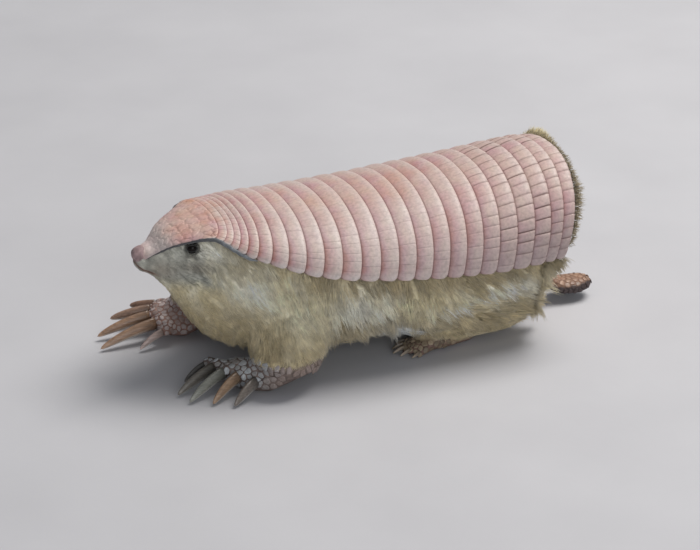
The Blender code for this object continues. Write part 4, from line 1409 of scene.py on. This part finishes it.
# The scutes of each bare part: their spacing and greatest reach in mm, two tones, and the share of the paler.
SCUTES = {
    # The two forefeet's tones differ as painted light: the left's greyer, as for a hand in shade, the right's
    # warmer.
    "forefoot_left": (1.25, 1.06, (0.31, 0.285, 0.27), (0.42, 0.435, 0.445), 0.50),
    "forefoot_right": (1.15, 0.98, (0.32, 0.235, 0.21), (0.50, 0.415, 0.395), 0.55),
    "hindfoot_left": (1.00, 0.78, (0.20, 0.15, 0.10), (0.42, 0.33, 0.23), 0.5),
    "hindfoot_right": (1.00, 0.78, (0.20, 0.15, 0.10), (0.42, 0.33, 0.23), 0.5),
    "tail": (1.15, 0.84, (0.34, 0.20, 0.135), (0.44, 0.28, 0.19), 0.5),
}


# Each scute's rings, from its buried foot to its flat top: how far each is drawn in and its height, in mm.
SCUTE_RINGS = ((-0.01, -0.12), (0.01, 0.04), (0.08, 0.09), (0.24, 0.12))
SCUTE_SEAM = 0.03
TAIL_SCUTE_SHADE = np.array([0.065, 0.045, 0.043])
HEEL_SCUTE = np.array([0.25, 0.165, 0.13])


def scute_tones(name, at, own):
    """Each scute's tone, between the part's dark and pale ones."""
    dark, light, share = SCUTES[name][2:]
    paler = ease(share + 0.5, share - 0.5, own.uniform(0, 1, len(at)) + 0.25 * soft_noise(at, 4.0, 56))
    tone = towards(np.array(dark), paler, np.array(light)) * own.uniform(0.85, 1.15, (len(at), 1))
    if name == "tail":
        # Painted shade on the scutes of the tail's lower side.
        tone = towards(tone, ease(5.1, 4.0, at[:, 2]), TAIL_SCUTE_SHADE)
    if name == "forefoot_left":
        tone = towards(tone, 0.75 * ease(24, 30, at[:, 0]), HEEL_SCUTE)
    return tone


def scute_rings(outline, at, across, forward, out):
    """The corners of one scute: its outline drawn in a little more and rounded at each height."""
    reach = np.linalg.norm(outline, axis=1, keepdims=True)
    rings = []
    for shrink, height in SCUTE_RINGS:
        ring = outline * (1 - np.minimum((shrink + SCUTE_SEAM) / np.maximum(reach, 0.05), 0.8))
        ring = (np.roll(ring, 1, axis=0) + 4 * ring + np.roll(ring, -1, axis=0)) / 6
        rings.extend(at + ring[:, :1] * across + ring[:, 1:] * forward + out * height)
    return rings


def scute_faces(first, sides):
    """The faces of one scute whose corners start at first: its walls, its top and its foot."""
    faces = []
    for low in range(first, first + 3 * sides, sides):
        for n in range(sides):
            m = (n + 1) % sides
            faces.append((low + n, low + m, low + sides + m, low + sides + n))
    faces.append(tuple(first + 3 * sides + n for n in range(sides)))
    faces.append(tuple(first + n for n in reversed(range(sides))))
    return faces


def foot_scales(points, normals, label, bare, material):
    """Flat scutes with narrow seams between them, on the backs of the feet and on the tail."""
    own = np.random.default_rng(55)
    shown = (bare > 0.75) & (normals[:, 2] > -0.35) & (points[:, 2] > 0.7)
    for name in SCUTES:
        gap, size = SCUTES[name][:2]
        spots = np.flatnonzero((label == PARTS.index(name)) & shown)
        chosen = spots[spread_out(points[spots], gap, own.permutation(len(spots)))]
        at = points[chosen]
        out = normals[chosen]
        forward = np.tile(np.array([-1.0, 0, -0.2]), (len(chosen), 1))
        forward = unit(forward - (forward * out).sum(axis=1, keepdims=True) * out)
        across = np.cross(out, forward)
        tone = scute_tones(name, at, own)
        vertices = []
        faces = []
        tones = []
        for k in range(len(chosen)):
            offset = at - at[k]
            near = np.linalg.norm(offset, axis=1) < 2.2 * gap
            near[k] = False
            flat = np.column_stack([offset[near] @ across[k], offset[near] @ forward[k]])
            outline = scute_outline(flat, size)
            if len(outline) < 3:
                continue
            faces.extend(scute_faces(len(vertices), len(outline)))
            vertices.extend(scute_rings(outline, at[k], across[k], forward[k], out[k]))
            tones.extend([tone[k]] * (len(SCUTE_RINGS) * len(outline)))
        vertices = np.array(vertices)
        vertices[:, 2] = np.maximum(vertices[:, 2], SCUTE_FLOOR)
        mesh = bpy.data.meshes.new(f"scutes_{name}")
        mesh.from_pydata(((vertices + SHIFT) * MM).tolist(), [], faces)
        keep_values(mesh, "coat_colour", np.array(tones))
        mesh.shade_smooth()
        dress(put_in_scene(f"scutes_{name}", mesh), material, "bare_skin")


# The tones of the digging claws, innermost first.
CLAW_TONES = {
    # The left hand's claws are darker and greyer than the right's: painted shade, for that hand lies in
    # shade.
    "left": (
        (0.11, 0.10, 0.09),
        (0.14, 0.125, 0.105),
        (0.21, 0.21, 0.18),
        (0.29, 0.19, 0.12),
        (0.16, 0.135, 0.115),
    ),
    "right": (
        (0.48, 0.36, 0.32),
        (0.36, 0.22, 0.14),
        (0.36, 0.22, 0.14),
        (0.33, 0.21, 0.15),
        (0.27, 0.16, 0.11),
    ),
}
TOE_CLAW_TONE = (0.25, 0.19, 0.13)
LID_GREY = np.array([0.035, 0.035, 0.034])


def digit_lines(front, reaches, outward, side, half_spread, fan, height):
    """Where each digit leaves its foot and which way it points, innermost first."""
    turn = math.radians(outward)
    ahead = np.array([-math.cos(turn), side * math.sin(turn), 0])
    across = np.array([math.sin(turn), side * math.cos(turn), 0])
    for i, reach in enumerate(reaches):
        share = (i - 2) / 2
        lean = math.radians(fan * share)
        way = ahead * math.cos(lean) + across * math.sin(lean)
        place = np.array([*front, 0.0]) + across * share * half_spread + ahead * reach
        place[2] = height * (1 - 0.22 * share * share)
        yield place, way


def claw_blade(name, base, way, length, depth, tip_height, tone, material, nodes=()):
    """A horn blade flattened from side to side: ridged on top, hollow below, with thin pale edges."""
    side = unit(np.cross(way, np.array([0, 0, 1.0])))
    drop = np.array([0, 0, tip_height - base[2]])
    around = turns(20)
    ridge = np.where(np.sin(around) > 0, 1.0, 0.92)
    wide = 0.36 * depth * np.cos(around) * (1 - 0.25 * np.maximum(np.sin(around), 0))
    high = 0.5 * depth * np.sin(around) * ridge
    columns = []
    steps = np.concatenate([[0], np.linspace(0, 1, 26) ** 0.9])
    for k, f in enumerate(steps):
        centre = base + way * length * f + drop * (0.4 * f + 0.6 * f * f)
        along = unit(way * length + drop * (0.4 + 1.2 * f))
        upward = np.cross(side, along)
        taper = max((1 - f * f) ** 0.5, 0.16)
        if k in (0, len(steps) - 1):
            taper = taper * 0.001
        hollow = 0.20 * depth * np.exp(-(((around - 1.5 * math.pi) / 0.5) ** 2)) * ease(0.0, 0.3, f)
        columns.append(centre + (side * wide[:, None] + upward * (high + hollow)[:, None]) * taper)
    points = np.stack(columns, axis=1)
    edge = np.exp(-((np.abs(np.sin(around) + 0.55) / 0.30) ** 2))[:, None] * ease(0.05, 0.4, steps)[None]
    thing = wrapped_grid(name, points, {"along": steps[None], "rim": np.clip(edge * 0.75, 0, 1)})
    keep_values(thing.data, "tone", np.tile(np.array(tone), (len(thing.data.vertices), 1)))
    dress(thing, material, "claw_horn", *nodes)


def make_claws(material):
    """The five digging claws of each hand and the five small claws of each hind foot."""
    for hand, (front, outward, fan, lengths, tips) in HANDS.items():
        digits = digit_lines(front, FINGER_REACH, outward, SIDES[hand], half_spread=7.0, fan=fan, height=4.8)
        for i, (place, way) in enumerate(digits):
            depth = 2.1 if i == 0 else 3.1
            claw_blade(
                f"digger_{hand}_{i + 1}",
                place + unit(way - np.array([0, 0, 0.3])) * 1.3,
                way,
                length=lengths[i] + 0.9,
                depth=depth * 1.05,
                tip_height=tips[i],
                tone=CLAW_TONES[hand][i],
                material=material,
                nodes=[f"claw_{hand}_{i + 1}"],
            )
    for foot, front in HIND_FEET.items():
        digits = digit_lines(front, TOE_REACH, 5, SIDES[foot], half_spread=3.3, fan=12, height=1.5)
        for i, (place, way) in enumerate(digits):
            claw_blade(
                f"toe_claw_{foot}_{i + 1}",
                place + way * 1.6,
                way,
                length=3.1 - 0.3 * abs(i - 2),
                depth=1.15,
                tip_height=0.45,
                tone=TOE_CLAW_TONE,
                material=material,
            )


def make_eyes(ball, lid):
    """Both eyeballs, each in its ring of lid."""
    for hand, side in SIDES.items():
        centre = EYE * (1, side, 1)
        deselect()
        bpy.ops.mesh.primitive_uv_sphere_add(
            segments=48,
            ring_count=24,
            radius=EYE_RADIUS * MM,
            location=(centre + SHIFT) * MM,
        )
        eye = bpy.context.object
        eye.name = f"eyeball_{hand}"
        bpy.ops.object.transform_apply(location=True, rotation=True, scale=True)
        eye.data.shade_smooth()
        dress(eye, ball, "eye", f"eye_{hand}")
        eyelid(hand, side, centre, lid)


def eyelid(hand, side, centre, material):
    """A thin fold of dark skin round the opening of the eye."""
    outward, along, upward = eye_axes(side)
    turn = np.linspace(0, 2 * math.pi, 49)
    around = turns(12)
    a = EYELID_LINE[0] * np.cos(turn)
    b = EYELID_LINE[1] * np.sin(turn)
    rise = np.sqrt(np.maximum(EYE_RADIUS**2 - a**2 - b**2, 0.02))
    spine = centre + a[:, None] * along + b[:, None] * upward + rise[:, None] * outward
    away = unit(a[:, None] * along + b[:, None] * upward)
    thick = 0.14 + 0.03 * np.sin(turn)
    turned = np.cos(around)[:, None, None] * away[None] + np.sin(around)[:, None, None] * outward
    thing = wrapped_grid(f"eyelid_{hand}", spine[None] + thick[None, :, None] * turned)
    keep_values(thing.data, "coat_colour", np.tile(LID_GREY, (len(thing.data.vertices), 1)))
    dress(thing, material, "bare_skin")


# ---- stage ---------------------------------------------------------------------------------------
# Each light: its place and size in metres, its power in watts and its colour. Both aim at the same place.
LIGHTS = {
    "window": ((0.40, 0.10, 0.80), 0.50, 7.8, (1.0, 0.975, 0.94)),
    "fill": ((-0.05, -1.0, 0.34), 0.70, 3.1, (0.96, 0.98, 1.0)),
}
LIGHTS_AIM = (0, 0, 0.02)
SKY_COLOUR = (0.86, 0.91, 1.0, 1)
SKY_STRENGTH = 0.22
# The camera aims at a place on the body in mm, from so many degrees round and up, and so many metres off.
CAMERA_AIM = np.array([55.7, 0.0, 16.0])
CAMERA_AZIMUTH = -22
CAMERA_ELEVATION = 25
CAMERA_DISTANCE = 0.571
SENSOR_WIDTH = 36.0
FOCAL_LENGTH = SENSOR_WIDTH * 24 / 7


def area_light(name, place, size, power, colour):
    data = bpy.data.lights.new(name, "AREA")
    data.size = size
    data.energy = power
    data.color = colour
    light = put_in_scene(name, data)
    light.location = place
    light.rotation_euler = (Vector(LIGHTS_AIM) - Vector(place)).to_track_quat("-Z", "Y").to_euler()


def set_camera():
    azimuth = math.radians(CAMERA_AZIMUTH)
    elevation = math.radians(CAMERA_ELEVATION)
    level = math.cos(elevation)
    back = Vector((math.sin(azimuth) * level, -math.cos(azimuth) * level, math.sin(elevation)))
    data = bpy.data.cameras.new("camera")
    data.sensor_width = SENSOR_WIDTH
    data.lens = FOCAL_LENGTH
    data.clip_start = 0.01
    camera = put_in_scene("camera", data)
    camera.location = Vector((CAMERA_AIM + SHIFT) * MM) + back * CAMERA_DISTANCE
    camera.rotation_euler = (-back).to_track_quat("-Z", "Y").to_euler()
    bpy.context.scene.camera = camera


def set_stage(material):
    """A pale floor under soft daylight, and the camera."""
    deselect()
    bpy.ops.mesh.primitive_plane_add(size=6.0, location=(0, 0, 0))
    floor = bpy.context.object
    floor.name = "floor"
    floor.data.materials.append(material)

    world = bpy.data.worlds.new("soft_daylight")
    world.use_nodes = True
    sky = world.node_tree.nodes["Background"]
    sky.inputs["Color"].default_value = SKY_COLOUR
    sky.inputs["Strength"].default_value = SKY_STRENGTH
    bpy.context.scene.world = world
    for name, settings in LIGHTS.items():
        area_light(name, *settings)
    set_camera()
    bpy.context.scene.view_settings.view_transform = "Standard"


def main():
    horn = horny_plate()
    hide = living_skin()
    silk = silky_coat()
    for i in range(BAND_COUNT):
        hoop(i, horn)
    brow_plate(horn)
    brow_fold(hide)
    rump_plate(horn)
    make_claws(claw_horn())
    make_eyes(wet_eye(), hide)
    skin, points, normals, label, bare = make_skin(hide)
    foot_scales(points, normals, label, bare, foot_scale())
    grow_coat(skin, points, normals, label, silk)
    rim_fringe(silk)
    lobe_fringe(silk)
    set_stage(pale_floor())


main()
